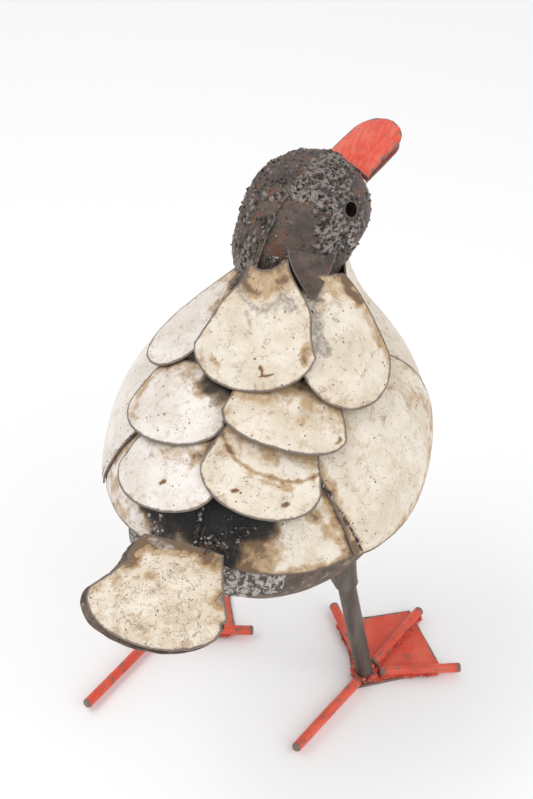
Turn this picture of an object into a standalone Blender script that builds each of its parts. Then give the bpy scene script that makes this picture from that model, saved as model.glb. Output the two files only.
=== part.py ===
"""Garden duck welded from pieces of painted drum steel: body plates, feathers, head, bill, legs and feet.

The duck looks along -Y, its right side is towards -X, and it stands on its two flat web plates at z = 0.
The whole assembly hangs on one empty, moved so that the origin is under the middle of its bounding box.
"""

import math

import bpy
import bmesh
from mathutils import Matrix, Vector
from mathutils.bvhtree import BVHTree

MM = 0.001

# Stock
SHEET = 1.5 * MM          # drum steel of the body, head and feathers
WEB_PLATE = 3.0 * MM      # flat bar under the toes
GAP = 0.4 * MM            # clearance between pieces that are welded together
PIPE_RADIUS = 8.6 * MM    # 3/8 inch gas pipe of the legs
PIPE_WALL = 2.3 * MM
TOE_RADIUS = 4.8 * MM     # 3/8 inch round bar of the toes
ROUND_SIDES = 16

# The body and the head are each the smooth union of two tilted eggs, read outwards from a core point.
# An egg is (centre, half sizes, turn about Z, pitch about X), with angles in degrees.
BODY_FORM = {
    "core": Vector((0, 0, 300)) * MM,
    "blend": 38 * MM,
    "eggs": [
        (Vector((-8, 12, 302)) * MM, Vector((139, 168, 106)) * MM, 0, -16),
        (Vector((-10, -58, 398)) * MM, Vector((50, 68, 104)) * MM, 0, -12),
    ],
}
HEAD_TURN = 15
HEAD_FORM = {
    "core": Vector((-5, -82, 474)) * MM,
    "blend": 22 * MM,
    "eggs": [
        (Vector((-8, -91, 485)) * MM, Vector((52, 50, 45)) * MM, HEAD_TURN, 0),
        (Vector((1, -66, 455)) * MM, Vector((45, 50, 62)) * MM, HEAD_TURN, 0),
    ],
}
# elevations where each half of the head ends: at the nape, at the throat, and the dip between them
NECK_CUT = {"right": (-42, -20, 2), "left": (-20, -20, 0)}
EYE_RADIUS = 7.5 * MM
EYE_AT = (92, 33)         # azimuth from the back of the head, and elevation
EYE_DEPTH = 12 * MM
EYE_STAND = 1 * MM        # how far the ring stands out of the skull
SEAM_HALF_GAP = 0.007     # as a share of the radius
BISECTIONS = 26
FARTHEST = 400 * MM

WRAP_CLEARANCE = 8 * MM   # from the form of the body down to where the wrap is measured from
WRAP_LENGTH = 62 * MM
WRAP_RADIUS = 22 * MM
WRAP_FLARED = 10 * MM     # from there down to the wide end of the wrap
WRAP_LEAN = 7 * MM
ANKLE_GAP = 5 * MM        # between the web plate and the lower end of the pipe
WELD_HEIGHT = 2.4 * MM
WELD_REACH = (3 * MM, 12.4 * MM)
PIPE_STEP = 0.5 * MM      # how finely the wrap's place along the pipe is found
PIPE_GAP = 0.6 * MM       # between the end of the pipe and the belly plate, along the pipe
UNDER_TAIL_OFFSET = Vector((4, 2, 0)) * MM

CREAM = (0.78, 0.71, 0.60)
PALE = (0.80, 0.74, 0.70)
SOOT = (0.06, 0.055, 0.05)
UMBER = (0.16, 0.12, 0.10)
BARE = (0.22, 0.19, 0.17)
RED = (0.66, 0.09, 0.05)


def clear_scene():
    for old in list(bpy.data.objects):
        bpy.data.objects.remove(old, do_unlink=True)


def paint(name, colour, roughness=0.5, metallic=0.2):
    """A plain Principled finish for one piece."""
    material = bpy.data.materials.new(name)
    material.use_nodes = True
    shader = material.node_tree.nodes["Principled BSDF"]
    shader.inputs["Base Color"].default_value = (*colour, 1)
    shader.inputs["Roughness"].default_value = roughness
    shader.inputs["Metallic"].default_value = metallic
    return material


def add_object(name, mesh, colour, root, sharp_angle=30):
    mesh.shade_smooth()
    mesh.set_sharp_from_angle(angle=math.radians(sharp_angle))
    mesh.materials.append(paint(name, colour))
    piece = bpy.data.objects.new(name, mesh)
    bpy.context.scene.collection.objects.link(piece)
    piece.parent = root
    return piece


# ---- the body and head surfaces ----

def egg_field(point, egg):
    """Nearly the distance outside one tilted ellipsoid, negative inside."""
    centre, size, turn, pitch = egg
    q = Matrix.Rotation(math.radians(turn), 3, "Z") @ (point - centre)
    q = Matrix.Rotation(-math.radians(pitch), 3, "X") @ q
    k = math.sqrt(sum((q[i] / size[i]) ** 2 for i in range(3)))
    g = math.sqrt(sum((q[i] / size[i] ** 2) ** 2 for i in range(3)))
    return k * (k - 1) / g if g > 0 else -min(size)


def form_field(point, form):
    first, second = (egg_field(point, egg) for egg in form["eggs"])
    h = min(max(0.5 + 0.5 * (second - first) / form["blend"], 0), 1)
    return second * (1 - h) + first * h - form["blend"] * h * (1 - h)


def form_point(form, direction):
    """Where the line from the core along a unit direction leaves the form."""
    inside, outside = 0.0, FARTHEST
    for _ in range(BISECTIONS):
        middle = (inside + outside) / 2
        if form_field(form["core"] + direction * middle, form) < 0:
            inside = middle
        else:
            outside = middle
    return form["core"] + direction * inside


def form_normal(form, point):
    step = 1 * MM
    slopes = []
    for axis in (Vector((step, 0, 0)), Vector((0, step, 0)), Vector((0, 0, step))):
        slopes.append(form_field(point + axis, form) - form_field(point - axis, form))
    return Vector(slopes).normalized()


def look(azimuth, elevation):
    """Unit direction: azimuth runs from the tail (+Y) towards the duck's right (-X), in degrees."""
    a, e = math.radians(azimuth), math.radians(elevation)
    return Vector((-math.sin(a) * math.cos(e), math.cos(a) * math.cos(e), math.sin(e)))


def keel(u):
    """Along the bottom of the body, from under the tail to under the breast."""
    under = -10 - 160 * u
    return look(0, under) if under >= -90 else look(180, -180 - under)


def belly_edge(u):
    """Where the belly is tucked under the plates above it, from the tail to the breast."""
    return look(3 + 174 * u, 4 - 9 * u)


BELLY_ARCS = (keel, belly_edge)
BELLY_LIFTS = (-10 * MM, -32 * MM, -10 * MM)


# ---- sheet metal ----

def sheet_mesh(name, points, normals, thickness):
    """A closed plate from a grid of points: its middle layer, offset both ways along the normals."""
    bm = bmesh.new()
    rows, columns = len(points), len(points[0])
    layers = []
    for side in (0.5, -0.5):
        layers.append([[bm.verts.new(points[r][c] + normals[r][c] * (thickness * side))
                        for c in range(columns)] for r in range(rows)])
    top, bottom = layers
    for r in range(rows - 1):
        for c in range(columns - 1):
            bm.faces.new((top[r][c], top[r][c + 1], top[r + 1][c + 1], top[r + 1][c]))
            bm.faces.new((bottom[r][c], bottom[r + 1][c], bottom[r + 1][c + 1], bottom[r][c + 1]))
    rim = [(0, c) for c in range(columns)]
    rim += [(r, columns - 1) for r in range(1, rows)]
    rim += [(rows - 1, c) for c in range(columns - 2, -1, -1)]
    rim += [(r, 0) for r in range(rows - 2, 0, -1)]
    for (r, c), (s, d) in zip(rim, rim[1:] + rim[:1]):
        bm.faces.new((top[r][c], bottom[r][c], bottom[s][d], top[s][d]))
    bmesh.ops.recalc_face_normals(bm, faces=bm.faces)
    mesh = bpy.data.meshes.new(name)
    bm.to_mesh(mesh)
    bm.free()
    return mesh


def panel(name, form, corners, bows, lift, cells, colour, root):
    """A plate that lies on a form.

    corners: (azimuth, elevation) of upper rear, upper front, lower front and lower rear.
    bows: how far the top, front, bottom and rear edges bulge outwards, as a share of the radius.
    """
    rows, columns = cells
    a, b, c, d = (look(*corner) for corner in corners)
    middle = (a + b + c + d) / 4
    edges = [(a + b) / 2, (b + c) / 2, (c + d) / 2, (d + a) / 2]
    out = [(edge - middle).normalized() * bow for edge, bow in zip(edges, bows)]
    points, normals = [], []
    for i in range(rows + 1):
        v = i / rows
        row, row_normals = [], []
        for j in range(columns + 1):
            u = j / columns
            direction = (a * (1 - u) + b * u) * (1 - v) + (d * (1 - u) + c * u) * v
            direction += (out[0] * (1 - v) + out[2] * v) * 4 * u * (1 - u)
            direction += (out[1] * u + out[3] * (1 - u)) * 4 * v * (1 - v)
            point = form_point(form, direction.normalized())
            normal = form_normal(form, point)
            row.append(point + normal * lift)
            row_normals.append(normal)
        points.append(row)
        normals.append(row_normals)
    return add_object(name, sheet_mesh(name, points, normals, SHEET), colour, root)


def feather(name, root_at, tip_at, facing, widths, shape, colour, root, cells=(9, 8), thickness=SHEET):
    """A spade of sheet: it runs from its root to its tip with its painted side towards facing.

    widths: across the root and across the widest place, which is where the round end starts.
    shape: (round end as a share of the length, sideways camber, lengthwise sag, notch in the root, flare).
    Camber and sag are the heights of the middle over the sides and over the two ends. A flare under 1 is
    for a plate that widens soon after its root.
    """
    round_end, camber, sag, notch, flare = shape
    along = tip_at - root_at
    length = along.length
    along.normalize()
    across = along.cross(facing).normalized()
    up = across.cross(along)
    rows, columns = cells
    points = []
    for i in range(rows + 1):
        v = i / rows
        row = []
        for j in range(columns + 1):
            t = 2 * j / columns - 1
            half = (widths[0] + (widths[1] - widths[0]) * v ** flare) / 2
            # equal steps of angle round the end arc, where the grid's last row lies
            angle = t * math.pi / 2
            straight = 1 - round_end
            reach = straight + round_end * math.cos(angle)
            x = half * (t * (1 - v) + math.sin(angle) * v)
            y = length * (v * reach + (1 - v) * notch * (1 - t * t))
            z = camber * (1 - (x / (widths[1] / 2)) ** 2) + 4 * sag * (y / length) * (1 - y / length)
            row.append(root_at + across * x + along * y + up * z)
        points.append(row)
    return add_object(name, sheet_mesh(name, points, grid_normals(points, up), thickness), colour, root)


def grid_normals(points, facing):
    """Unit normals of a grid of points, on the side of facing."""
    rows, columns = len(points), len(points[0])
    normals = []
    for r in range(rows):
        row = []
        for c in range(columns):
            down = points[min(r + 1, rows - 1)][c] - points[max(r - 1, 0)][c]
            right = points[r][min(c + 1, columns - 1)] - points[r][max(c - 1, 0)]
            normal = right.cross(down).normalized()
            row.append(normal if normal.dot(facing) > 0 else -normal)
        normals.append(row)
    return normals


# ---- bars, pipes and blocks ----

def rings_mesh(name, rings, closed=False):
    """A skin over rings of points, capped at both ends, or joined end to end when closed."""
    bm = bmesh.new()
    layers = [[bm.verts.new(point) for point in ring] for ring in rings]
    pairs = list(zip(layers, layers[1:]))
    if closed:
        pairs.append((layers[-1], layers[0]))
    for lower, upper in pairs:
        for i in range(len(lower)):
            j = (i + 1) % len(lower)
            bm.faces.new((lower[i], lower[j], upper[j], upper[i]))
    if not closed:
        bm.faces.new(layers[0])
        bm.faces.new(layers[-1])
    bmesh.ops.recalc_face_normals(bm, faces=bm.faces)
    mesh = bpy.data.meshes.new(name)
    bm.to_mesh(mesh)
    bm.free()
    return mesh


def ring_points(centre, axis, radius, sides=ROUND_SIDES):
    side = axis.orthogonal().normalized()
    other = axis.cross(side)
    turns = [2 * math.pi * i / sides for i in range(sides)]
    return [centre + (side * math.cos(turn) + other * math.sin(turn)) * radius for turn in turns]


def bar(name, start, end, radius, colour, root, chamfer=1 * MM):
    """A round bar with chamfered ends."""
    axis = (end - start).normalized()
    stations = [(start, radius - chamfer), (start + axis * chamfer, radius),
                (end - axis * chamfer, radius), (end, radius - chamfer)]
    rings = [ring_points(centre, axis, r) for centre, r in stations]
    return add_object(name, rings_mesh(name, rings), colour, root)


def sleeve(name, profile, axis, colour, root):
    """A turned open sleeve: profile lists (centre, radius) round the wall and closes on itself."""
    rings = [ring_points(centre, axis, radius) for centre, radius in profile]
    return add_object(name, rings_mesh(name, rings, closed=True), colour, root)


def plate(name, outline, bottom, top, colour, root):
    """A flat plate of a given outline, between two heights."""
    rings = [[Vector((x, y, z)) for x, y in outline] for z in (bottom, top)]
    return add_object(name, rings_mesh(name, rings), colour, root)


# ---- the duck ----

def build_body(root):
    side = [(30, 50), (112, 38), (99, -2), (47, -2)]
    rump = [(0.3, 26), (40, 26), (50, -2), (0.3, 4)]
    strip = [(3, 5), (24, 3), (22, -1), (2.5, -4)]
    breast = [(112, 47), (179.7, 46), (179.7, -8), (100, -8)]
    flat = (0, 0, 0, 0)
    for label, sign in (("right", 1), ("left", -1)):
        colour = CREAM if sign > 0 else PALE
        side_on, rump_on, strip_on, breast_on = (
            [(az * sign, el) for az, el in corners] for corners in (side, rump, strip, breast))
        panel("side_plate_" + label, BODY_FORM, side_on, (0.16, 0.13, 0.05, 0), 2 * MM, (11, 12), colour, root)
        panel("rump_plate_" + label, BODY_FORM, rump_on, (0, 0, 0.03, 0), -1 * MM, (7, 8), colour, root)
        panel("rump_strip_" + label, BODY_FORM, strip_on, flat, -4 * MM, (3, 5), BARE, root)
        panel("breast_plate_" + label, BODY_FORM, breast_on, flat, -3 * MM, (10, 9), colour, root)
        half_shell("belly_plate_" + label, BODY_FORM, BELLY_ARCS, sign, 0, BELLY_LIFTS, (8, 12),
                   UMBER, root)
    back = [(-40, 22), (-70, 66), (70, 66), (40, 22)]
    panel("back_plate", BODY_FORM, back, (0, -0.08, 0, 0), -6 * MM, (8, 8), SOOT, root)


FEATHERS = {
    # name: root, tip, facing, (root width, full width), (round end, camber, sag, root notch, flare), colour
    "feather_shoulder_left":
        ((23, -17, 450), (85, 42, 389), (0.5, 0.4, 0.75), (38, 54), (0.36, 5, 2, 0, 1), PALE),
    "feather_collar":
        ((1, -13, 481), (-11, 67, 404), (0, 0.5, 0.8), (36, 102), (0.32, 12, 4, 0.1, 1.5), CREAM),
    "feather_shoulder_right":
        ((-43, -31, 461), (-93, 43, 388), (-0.6, 0.4, 0.7), (26, 84), (0.4, 8, 4, 0, 0.75), CREAM),
    "feather_middle_left":
        ((38, 46, 400), (47, 114, 366), (0.3, 0.6, 0.7), (60, 98), (0.40, 9, 4, 0, 0.6), PALE),
    "feather_middle_right":
        ((-40, 44, 400), (-51, 109, 383), (-0.3, 0.6, 0.7), (60, 104), (0.42, 10, 4, 0, 0.5), CREAM),
    "feather_lower_left":
        ((27, 82, 381), (38, 158, 335), (0.3, 0.6, 0.7), (46, 100), (0.36, 9, 4, 0, 0.6), PALE),
    "feather_lower_right":
        ((-38, 78, 387), (-42, 149, 345), (-0.3, 0.6, 0.7), (50, 100), (0.42, 10, 4, 0, 0.5), CREAM),
}


def build_feathers(root):
    for name, (root_at, tip_at, facing, widths, shape, colour) in FEATHERS.items():
        round_end, camber, sag, notch, flare = shape
        feather(name, Vector(root_at) * MM, Vector(tip_at) * MM, Vector(facing).normalized(),
                [w * MM for w in widths], (round_end, camber * MM, sag * MM, notch, flare), colour, root)


def build_tail(root):
    root_at, tip_at = Vector((3, 177, 325)) * MM, Vector((6, 266, 296)) * MM
    facing = Vector((0.04, 0.3, 0.95)).normalized()
    widths = (70 * MM, 122 * MM)
    tail_shape = (0.42, 8 * MM, 5 * MM, 0, 1.15)
    feather("tail_plate", root_at, tip_at, facing, widths, tail_shape, CREAM, root)
    below = facing * -(SHEET + 3 * MM) + UNDER_TAIL_OFFSET
    feather("tail_under_plate", root_at + below, tip_at + below, facing, widths, tail_shape, BARE, root)


def build_head(root):
    for label, sign in (("right", 1), ("left", -1)):
        shell = half_shell("skull_" + label, HEAD_FORM, skull_arcs(label), sign, HEAD_TURN, (0, 0, 0), (9, 14),
                           UMBER, root)
        fit_eye(shell, label, sign, root)
    bill_root = Vector((-24.5, -134, 499)) * MM
    turn = math.radians(HEAD_TURN)
    forward = Vector((-math.sin(turn), -math.cos(turn), 0.1)).normalized()
    feather("bill_upper", bill_root, bill_root + forward * 73 * MM, Vector((0, 0, 1)),
            (47 * MM, 46 * MM), (0.34, 5 * MM, 2 * MM, 0.03, 1), RED, root, cells=(8, 6))
    low = Vector((0, 0, -5.5 * MM))
    feather("bill_lower", bill_root + low, bill_root + low + forward * 71 * MM, Vector((0, 0, 1)),
            (45 * MM, 44 * MM), (0.34, -3 * MM, 0, 0.16, 1), RED, root, cells=(7, 6))


def skull_arcs(label):
    """Directions along the seam over the head and along the cut round its neck, from nape to throat."""
    nape, throat, dip = NECK_CUT[label]

    def seam(u):
        over = nape + (180 - throat - nape) * u
        return look(0, over) if over <= 90 else look(180, 180 - over)

    def neck(u):
        return look(14 + 152 * u, nape + (throat - nape) * u - dip * math.sin(math.pi * u))

    return seam, neck


def half_shell(name, form, arcs, sign, turn, lifts, cells, colour, root):
    """Half of a form, between a seam in its middle plane and a cut round its side.

    arcs: the seam and the cut, each a function from 0..1 to a direction on the right.
    sign: +1 right, -1 left. lifts: distance off the form at the cut, at the seam's start and at its end.
    """
    seam, cut = arcs
    at_cut, at_start, at_end = lifts
    rows, columns = cells
    points, normals = [], []
    for i in range(rows + 1):
        v = i / rows
        row, row_normals = [], []
        for j in range(columns + 1):
            beside = (seam(j / columns) + Vector((-SEAM_HALF_GAP, 0, 0))).normalized()
            direction = beside.slerp(cut(j / columns), v)
            direction.x *= sign
            direction.rotate(Matrix.Rotation(math.radians(-turn), 3, "Z"))
            point = form_point(form, direction)
            normal = form_normal(form, point)
            at_seam = at_end + (at_start - at_end) * (1 - j / columns) ** 1.5
            row.append(point + normal * (at_seam + (at_cut - at_seam) * v))
            row_normals.append(normal)
        points.append(row)
        normals.append(row_normals)
    return add_object(name, sheet_mesh(name, points, normals, SHEET), colour, root)


def fit_eye(shell, label, sign, root):
    """Cuts the eye hole with a cylinder, and sets a short ring of pipe in it."""
    direction = look(*EYE_AT)
    direction.x *= sign
    direction.rotate(Matrix.Rotation(math.radians(-HEAD_TURN), 3, "Z"))
    point = form_point(HEAD_FORM, direction)
    axis = form_normal(HEAD_FORM, point)
    rings = [ring_points(point + axis * side * EYE_DEPTH, axis, EYE_RADIUS) for side in (-1, 1)]
    cutter = add_object("eye_cutter_" + label, rings_mesh("eye_cutter_" + label, rings), BARE, root)
    cutter.hide_render = True
    cutter.display_type = "WIRE"
    cut = shell.modifiers.new("eye", "BOOLEAN")
    cut.operation = "DIFFERENCE"
    cut.solver = "EXACT"
    cut.object = cutter
    outer, inner = EYE_RADIUS - GAP, EYE_RADIUS - GAP - SHEET
    low, high = point - axis * 2 * MM, point + axis * EYE_STAND
    profile = [(low, inner), (high, inner), (high, outer), (low, outer)]
    sleeve("eye_ring_" + label, profile, axis, BARE, root)


def build_collar(root):
    """Three small plates that close the gaps between the head and the feathers behind it."""
    left = [(-20, -16), (-68, -14), (-64, -46), (-24, -46)]
    panel("collar_tab_left", HEAD_FORM, left, (0, 0, 0, 0), -2.5 * MM, (4, 6), BARE, root)
    root_at, tip_at = Vector((-38, -12, 455)) * MM, Vector((-42, 16, 416)) * MM
    feather("collar_tab_right", root_at, tip_at, Vector((-0.2, 0.6, 0.75)).normalized(), (20 * MM, 24 * MM),
            (0.3, 2 * MM, 0, 0, 1), BARE, root, cells=(4, 4))
    root_at, tip_at = Vector((-36, -31, 485)) * MM, Vector((-43, 1, 466)) * MM
    feather("nape_tab", root_at, tip_at, Vector((-0.2, 0.6, 0.75)).normalized(), (37 * MM, 9 * MM),
            (0.3, 0, 2 * MM, 0, 1), UMBER, root, cells=(5, 5))


# label, side, foot on the ground, where the leg points, heading of the foot
LEGS = (
    ("right", 1, Vector((-102, -10, 0)) * MM, Vector((-71, 4, 200)) * MM, 15.5),
    ("left", -1, Vector((108, 8, 0)) * MM, Vector((77, 4, 200)) * MM, 16.5),
)


def build_leg(label, base, towards, root):
    """A pipe from the foot up to the belly plate, cut to its slope, with a flared sheet wrapped round it."""
    axis = (towards - base).normalized()
    bottom = base + axis * ((WEB_PLATE + ANKLE_GAP) / axis.z)
    belly = bpy.data.objects["belly_plate_" + label].data
    skin = BVHTree.FromPolygons([vertex.co for vertex in belly.vertices],
                                [face.vertices for face in belly.polygons])
    inside, outside = (ring_points(bottom, axis, radius) for radius in (PIPE_RADIUS - PIPE_WALL, PIPE_RADIUS))
    ends = [[point + axis * (skin.ray_cast(point, axis)[3] - PIPE_GAP) for point in ring]
            for ring in (inside, outside)]
    name = "leg_pipe_" + label
    add_object(name, rings_mesh(name, [inside, ends[0], ends[1], outside], closed=True), BARE, root)
    top = bottom
    while form_field(top, BODY_FORM) > WRAP_CLEARANCE:
        top = top + axis * PIPE_STEP
    inner = PIPE_RADIUS + GAP
    low, high = top - axis * WRAP_LENGTH, top - axis * WRAP_FLARED
    inwards = Vector((-math.copysign(WRAP_LEAN, base.x), 0, 0))
    wrap = [(low, inner), (high + inwards, WRAP_RADIUS), (high + inwards, WRAP_RADIUS + SHEET),
            (low, inner + SHEET)]
    sleeve("thigh_wrap_" + label, wrap, axis, BARE, root)
    up = Vector((0, 0, 1))
    low, high = base + up * (WEB_PLATE + GAP), base + up * (WEB_PLATE + WELD_HEIGHT)
    inner, outer = WELD_REACH
    weld = [(low, inner), (high, inner), (high, outer), (low, outer)]
    sleeve("ankle_weld_" + label, weld, up, RED, root)


# toe: angle from the middle toe, and where it starts and ends from the middle of the leg, in mm
TOES = (("outer", 51, 13, 93), ("middle", 0, 13, 100), ("inner", -54, 13, 93), ("back", 181.5, 13, 117))


def build_foot(label, base, heading, side, root):
    """heading: where the middle toe points, in degrees from -Y towards -X. side: +1 right, -1 left."""
    def at(distance, angle, height=0.0):
        turn = math.radians(heading + angle * side)
        return Vector((base.x - math.sin(turn) * distance, base.y - math.cos(turn) * distance, height))

    corners = [(-18 * MM, 0), (76 * MM, 48), (98 * MM, -6), (75 * MM, -52)]
    outline = [tuple(at(*corner))[:2] for corner in corners]
    plate("web_plate_" + label, outline, 0, WEB_PLATE, RED, root)
    height = WEB_PLATE + GAP + TOE_RADIUS
    for toe, angle, start, length in TOES:
        bar("toe_%s_%s" % (toe, label), at(start * MM, angle, height), at(length * MM, angle, height),
            TOE_RADIUS, RED, root)


def centre_on_origin(root):
    """Moves the root so that the origin is under the middle of the bounding box, on the ground."""
    bpy.context.view_layer.update()
    corners = [piece.matrix_world @ Vector(corner)
               for piece in root.children for corner in piece.bound_box]
    low = Vector([min(corner[i] for corner in corners) for i in range(3)])
    high = Vector([max(corner[i] for corner in corners) for i in range(3)])
    root.location = Vector((-(low.x + high.x) / 2, -(low.y + high.y) / 2, -low.z))
    bpy.context.view_layer.update()


def build():
    clear_scene()
    root = bpy.data.objects.new("duck", None)
    bpy.context.scene.collection.objects.link(root)
    build_body(root)
    build_feathers(root)
    build_tail(root)
    build_head(root)
    build_collar(root)
    for label, side, base, hip, heading in LEGS:
        build_leg(label, base, hip, root)
        build_foot(label, base, heading, side, root)
    centre_on_origin(root)


build()
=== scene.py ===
"""The welded duck's looks: scratched and burnt sheet steel, weld beads, spatter and chipped red feet.

Shapes are worked out in millimetres about the duck's own zero, as the CAD part does, and moved to the frame
when each mesh is made. The duck looks along -Y and its right side is towards -X.
"""

import itertools
import math

import bmesh
import bpy
import numpy as np
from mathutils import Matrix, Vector


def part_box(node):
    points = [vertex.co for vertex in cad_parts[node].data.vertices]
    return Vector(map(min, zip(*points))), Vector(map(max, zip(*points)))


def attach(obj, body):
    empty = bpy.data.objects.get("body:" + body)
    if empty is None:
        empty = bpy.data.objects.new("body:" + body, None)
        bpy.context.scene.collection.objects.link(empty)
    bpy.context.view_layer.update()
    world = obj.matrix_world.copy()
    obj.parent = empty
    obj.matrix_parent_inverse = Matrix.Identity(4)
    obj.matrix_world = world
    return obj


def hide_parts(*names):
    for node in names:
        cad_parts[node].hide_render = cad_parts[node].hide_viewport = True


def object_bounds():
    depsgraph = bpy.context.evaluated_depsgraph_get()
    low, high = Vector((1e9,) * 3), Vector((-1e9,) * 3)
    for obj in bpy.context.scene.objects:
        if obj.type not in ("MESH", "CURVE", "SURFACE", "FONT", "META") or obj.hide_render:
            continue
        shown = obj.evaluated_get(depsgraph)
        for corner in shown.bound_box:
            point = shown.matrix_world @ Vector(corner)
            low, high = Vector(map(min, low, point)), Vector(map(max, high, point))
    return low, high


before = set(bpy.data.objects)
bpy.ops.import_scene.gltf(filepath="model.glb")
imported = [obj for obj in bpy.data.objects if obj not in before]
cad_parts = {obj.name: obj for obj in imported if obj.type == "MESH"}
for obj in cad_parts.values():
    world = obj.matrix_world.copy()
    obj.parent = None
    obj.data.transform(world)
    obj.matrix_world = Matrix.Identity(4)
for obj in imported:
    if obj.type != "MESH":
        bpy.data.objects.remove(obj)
CAD_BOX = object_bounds()

MM = 0.001
SHEET = 1.5
WEB_PLATE = 3.0
PIPE_RADIUS = 8.6
TOE_RADIUS = 4.8
TOE_HEIGHT = WEB_PLATE + 0.4 + TOE_RADIUS

BODY = {
    "core": (0, 0, 300),
    "blend": 38,
    "eggs": (((-8, 12, 302), (139, 168, 106), 0, -16), ((-10, -58, 398), (50, 68, 104), 0, -12)),
}
HEAD_TURN = 15
HEAD = {
    "core": (-5, -82, 474),
    "blend": 22,
    "eggs": (((-8, -91, 485), (52, 50, 45), HEAD_TURN, 0), ((1, -66, 455), (45, 50, 62), HEAD_TURN, 0)),
}
NECK_CUT = {"right": (-42, -20, 2), "left": (-20, -20, 0)}
EYE_RADIUS = 7.5
EYE_AT = (92, 33)
LEGS = (
    ("right", 1, (-102, -10, 0), (-71, 4, 200), 15.5),
    ("left", -1, (108, 8, 0), (77, 4, 200), 16.5),
)
TOES = (("outer", 51, 13, 93), ("middle", 0, 13, 100), ("inner", -54, 13, 93), ("back", 181.5, 13, 117))
WEB_CORNERS = ((-18, 0), (76, 48), (98, -6), (75, -52))
BELLY_LIFTS = (-10, -32, -10)   # off the body's form: at the cut, under the tail and under the breast
WRAP_CLEARANCE = 8              # from the body's form down to where a leg's wrap is measured from
WRAP_LENGTH = 62
WRAP_FLARED = 10                # from there down to the wide end of the wrap
WRAP_RADIUS = 22
WRAP_LEAN = 7
SEAM_HALF_GAP = 0.007           # as a share of the distance from the form's core
FARTHEST = 400.0
BISECTIONS = 22
UNDER_TAIL_OFFSET = (4, 2, 0)
CROWN_EASE = 3 * MM             # how far under the top of the box the heights start to be eased in


# ---- numbers ----

def unit(a):
    a = np.asarray(a, float)
    return a / np.linalg.norm(a, axis=-1, keepdims=True)


def smooth(x, low, high):
    t = np.clip((x - low) / (high - low), 0, 1)
    return t * t * (3 - 2 * t)


def turned(points, degrees, axis="Z"):
    points = np.asarray(points, float)
    c, s = math.cos(math.radians(degrees)), math.sin(math.radians(degrees))
    x, y, z = points[..., 0], points[..., 1], points[..., 2]
    if axis == "Z":
        return np.stack((x * c - y * s, x * s + y * c, z), -1)
    return np.stack((x, y * c - z * s, y * s + z * c), -1)


def grain(points, size, seed):
    """A smooth random field from -1 to 1 with lumps about size across."""
    q = np.asarray(points, float) / size + seed * 7.13
    cell = np.floor(q).astype(np.int64)
    f = q - cell
    f = f * f * (3 - 2 * f)
    total = 0
    for corner in itertools.product((0, 1), repeat=3):
        n = cell + corner
        h = (n[..., 0] * 73856093) ^ (n[..., 1] * 19349663) ^ (n[..., 2] * 83492791)
        h = ((h ^ (h >> 15)) * 2246822519) & 0xFFFFFFFF
        h = (h ^ (h >> 13)) & 0xFFFF
        weight = np.prod(np.where(corner, f, 1 - f), -1)
        total = total + weight * (h / 32767.5 - 1)
    return total


def rough(points, size, seed, octaves=3):
    return sum(grain(points, size / 2 ** k, seed + k) / 2 ** k for k in range(octaves))


def wobble(t, size, seed):
    """The same field along a line."""
    t = np.asarray(t, float)
    return grain(np.stack((t, t * 0 + seed * 3.3, t * 0), -1), size, seed)


# ---- forms ----

def egg(points, centre, size, turn, pitch):
    q = turned(turned(points - np.array(centre, float), turn), -pitch, "X")
    size = np.array(size, float)
    k = np.linalg.norm(q / size, axis=-1)
    g = np.linalg.norm(q / size ** 2, axis=-1)
    return k * (k - 1) / np.maximum(g, 1e-9)


def field(points, form):
    first, second = (egg(points, *one) for one in form["eggs"])
    h = np.clip(0.5 + 0.5 * (second - first) / form["blend"], 0, 1)
    return second * (1 - h) + first * h - form["blend"] * h * (1 - h)


def skin(form, directions):
    """Where unit directions from the core leave the form."""
    core = np.array(form["core"], float)
    inside, outside = np.zeros(directions.shape[:-1]), np.full(directions.shape[:-1], FARTHEST)
    for _ in range(BISECTIONS):
        middle = (inside + outside) / 2
        within = field(core + directions * middle[..., None], form) < 0
        inside, outside = np.where(within, middle, inside), np.where(within, outside, middle)
    return core + directions * inside[..., None]


def outward(form, points):
    slopes = [field(points + axis, form) - field(points - axis, form) for axis in np.eye(3)]
    return unit(np.stack(slopes, -1))


def look(azimuth, elevation):
    """Azimuth runs from the tail (+Y) towards the duck's right (-X), in degrees."""
    a, e = np.radians(azimuth), np.radians(elevation)
    return np.stack((-np.sin(a) * np.cos(e), np.cos(a) * np.cos(e), np.sin(e) + 0 * a), -1)


def slerp(a, b, t):
    angle = np.arccos(np.clip((a * b).sum(-1), -1, 1))[..., None]
    return (a * np.sin((1 - t) * angle) + b * np.sin(t * angle)) / np.sin(angle)


# ---- meshes ----

def frame_shift():
    """From the duck's own zero to the frame, read off the right foot's plate."""
    _, side, base, _, heading = LEGS[0]
    corners = np.array([foot_point(base, heading, side, *corner) for corner in WEB_CORNERS])
    low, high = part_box("web_plate_right")
    middle = (corners.min(0) + corners.max(0)) / 2
    shift = np.array((low + high) / 2) / MM - middle
    shift[2] = 0
    return shift


def foot_point(base, heading, side, distance, angle, height=0.0):
    turn = math.radians(heading + angle * side)
    return (base[0] - math.sin(turn) * distance, base[1] - math.cos(turn) * distance, height)


SHIFT = frame_shift()


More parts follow.
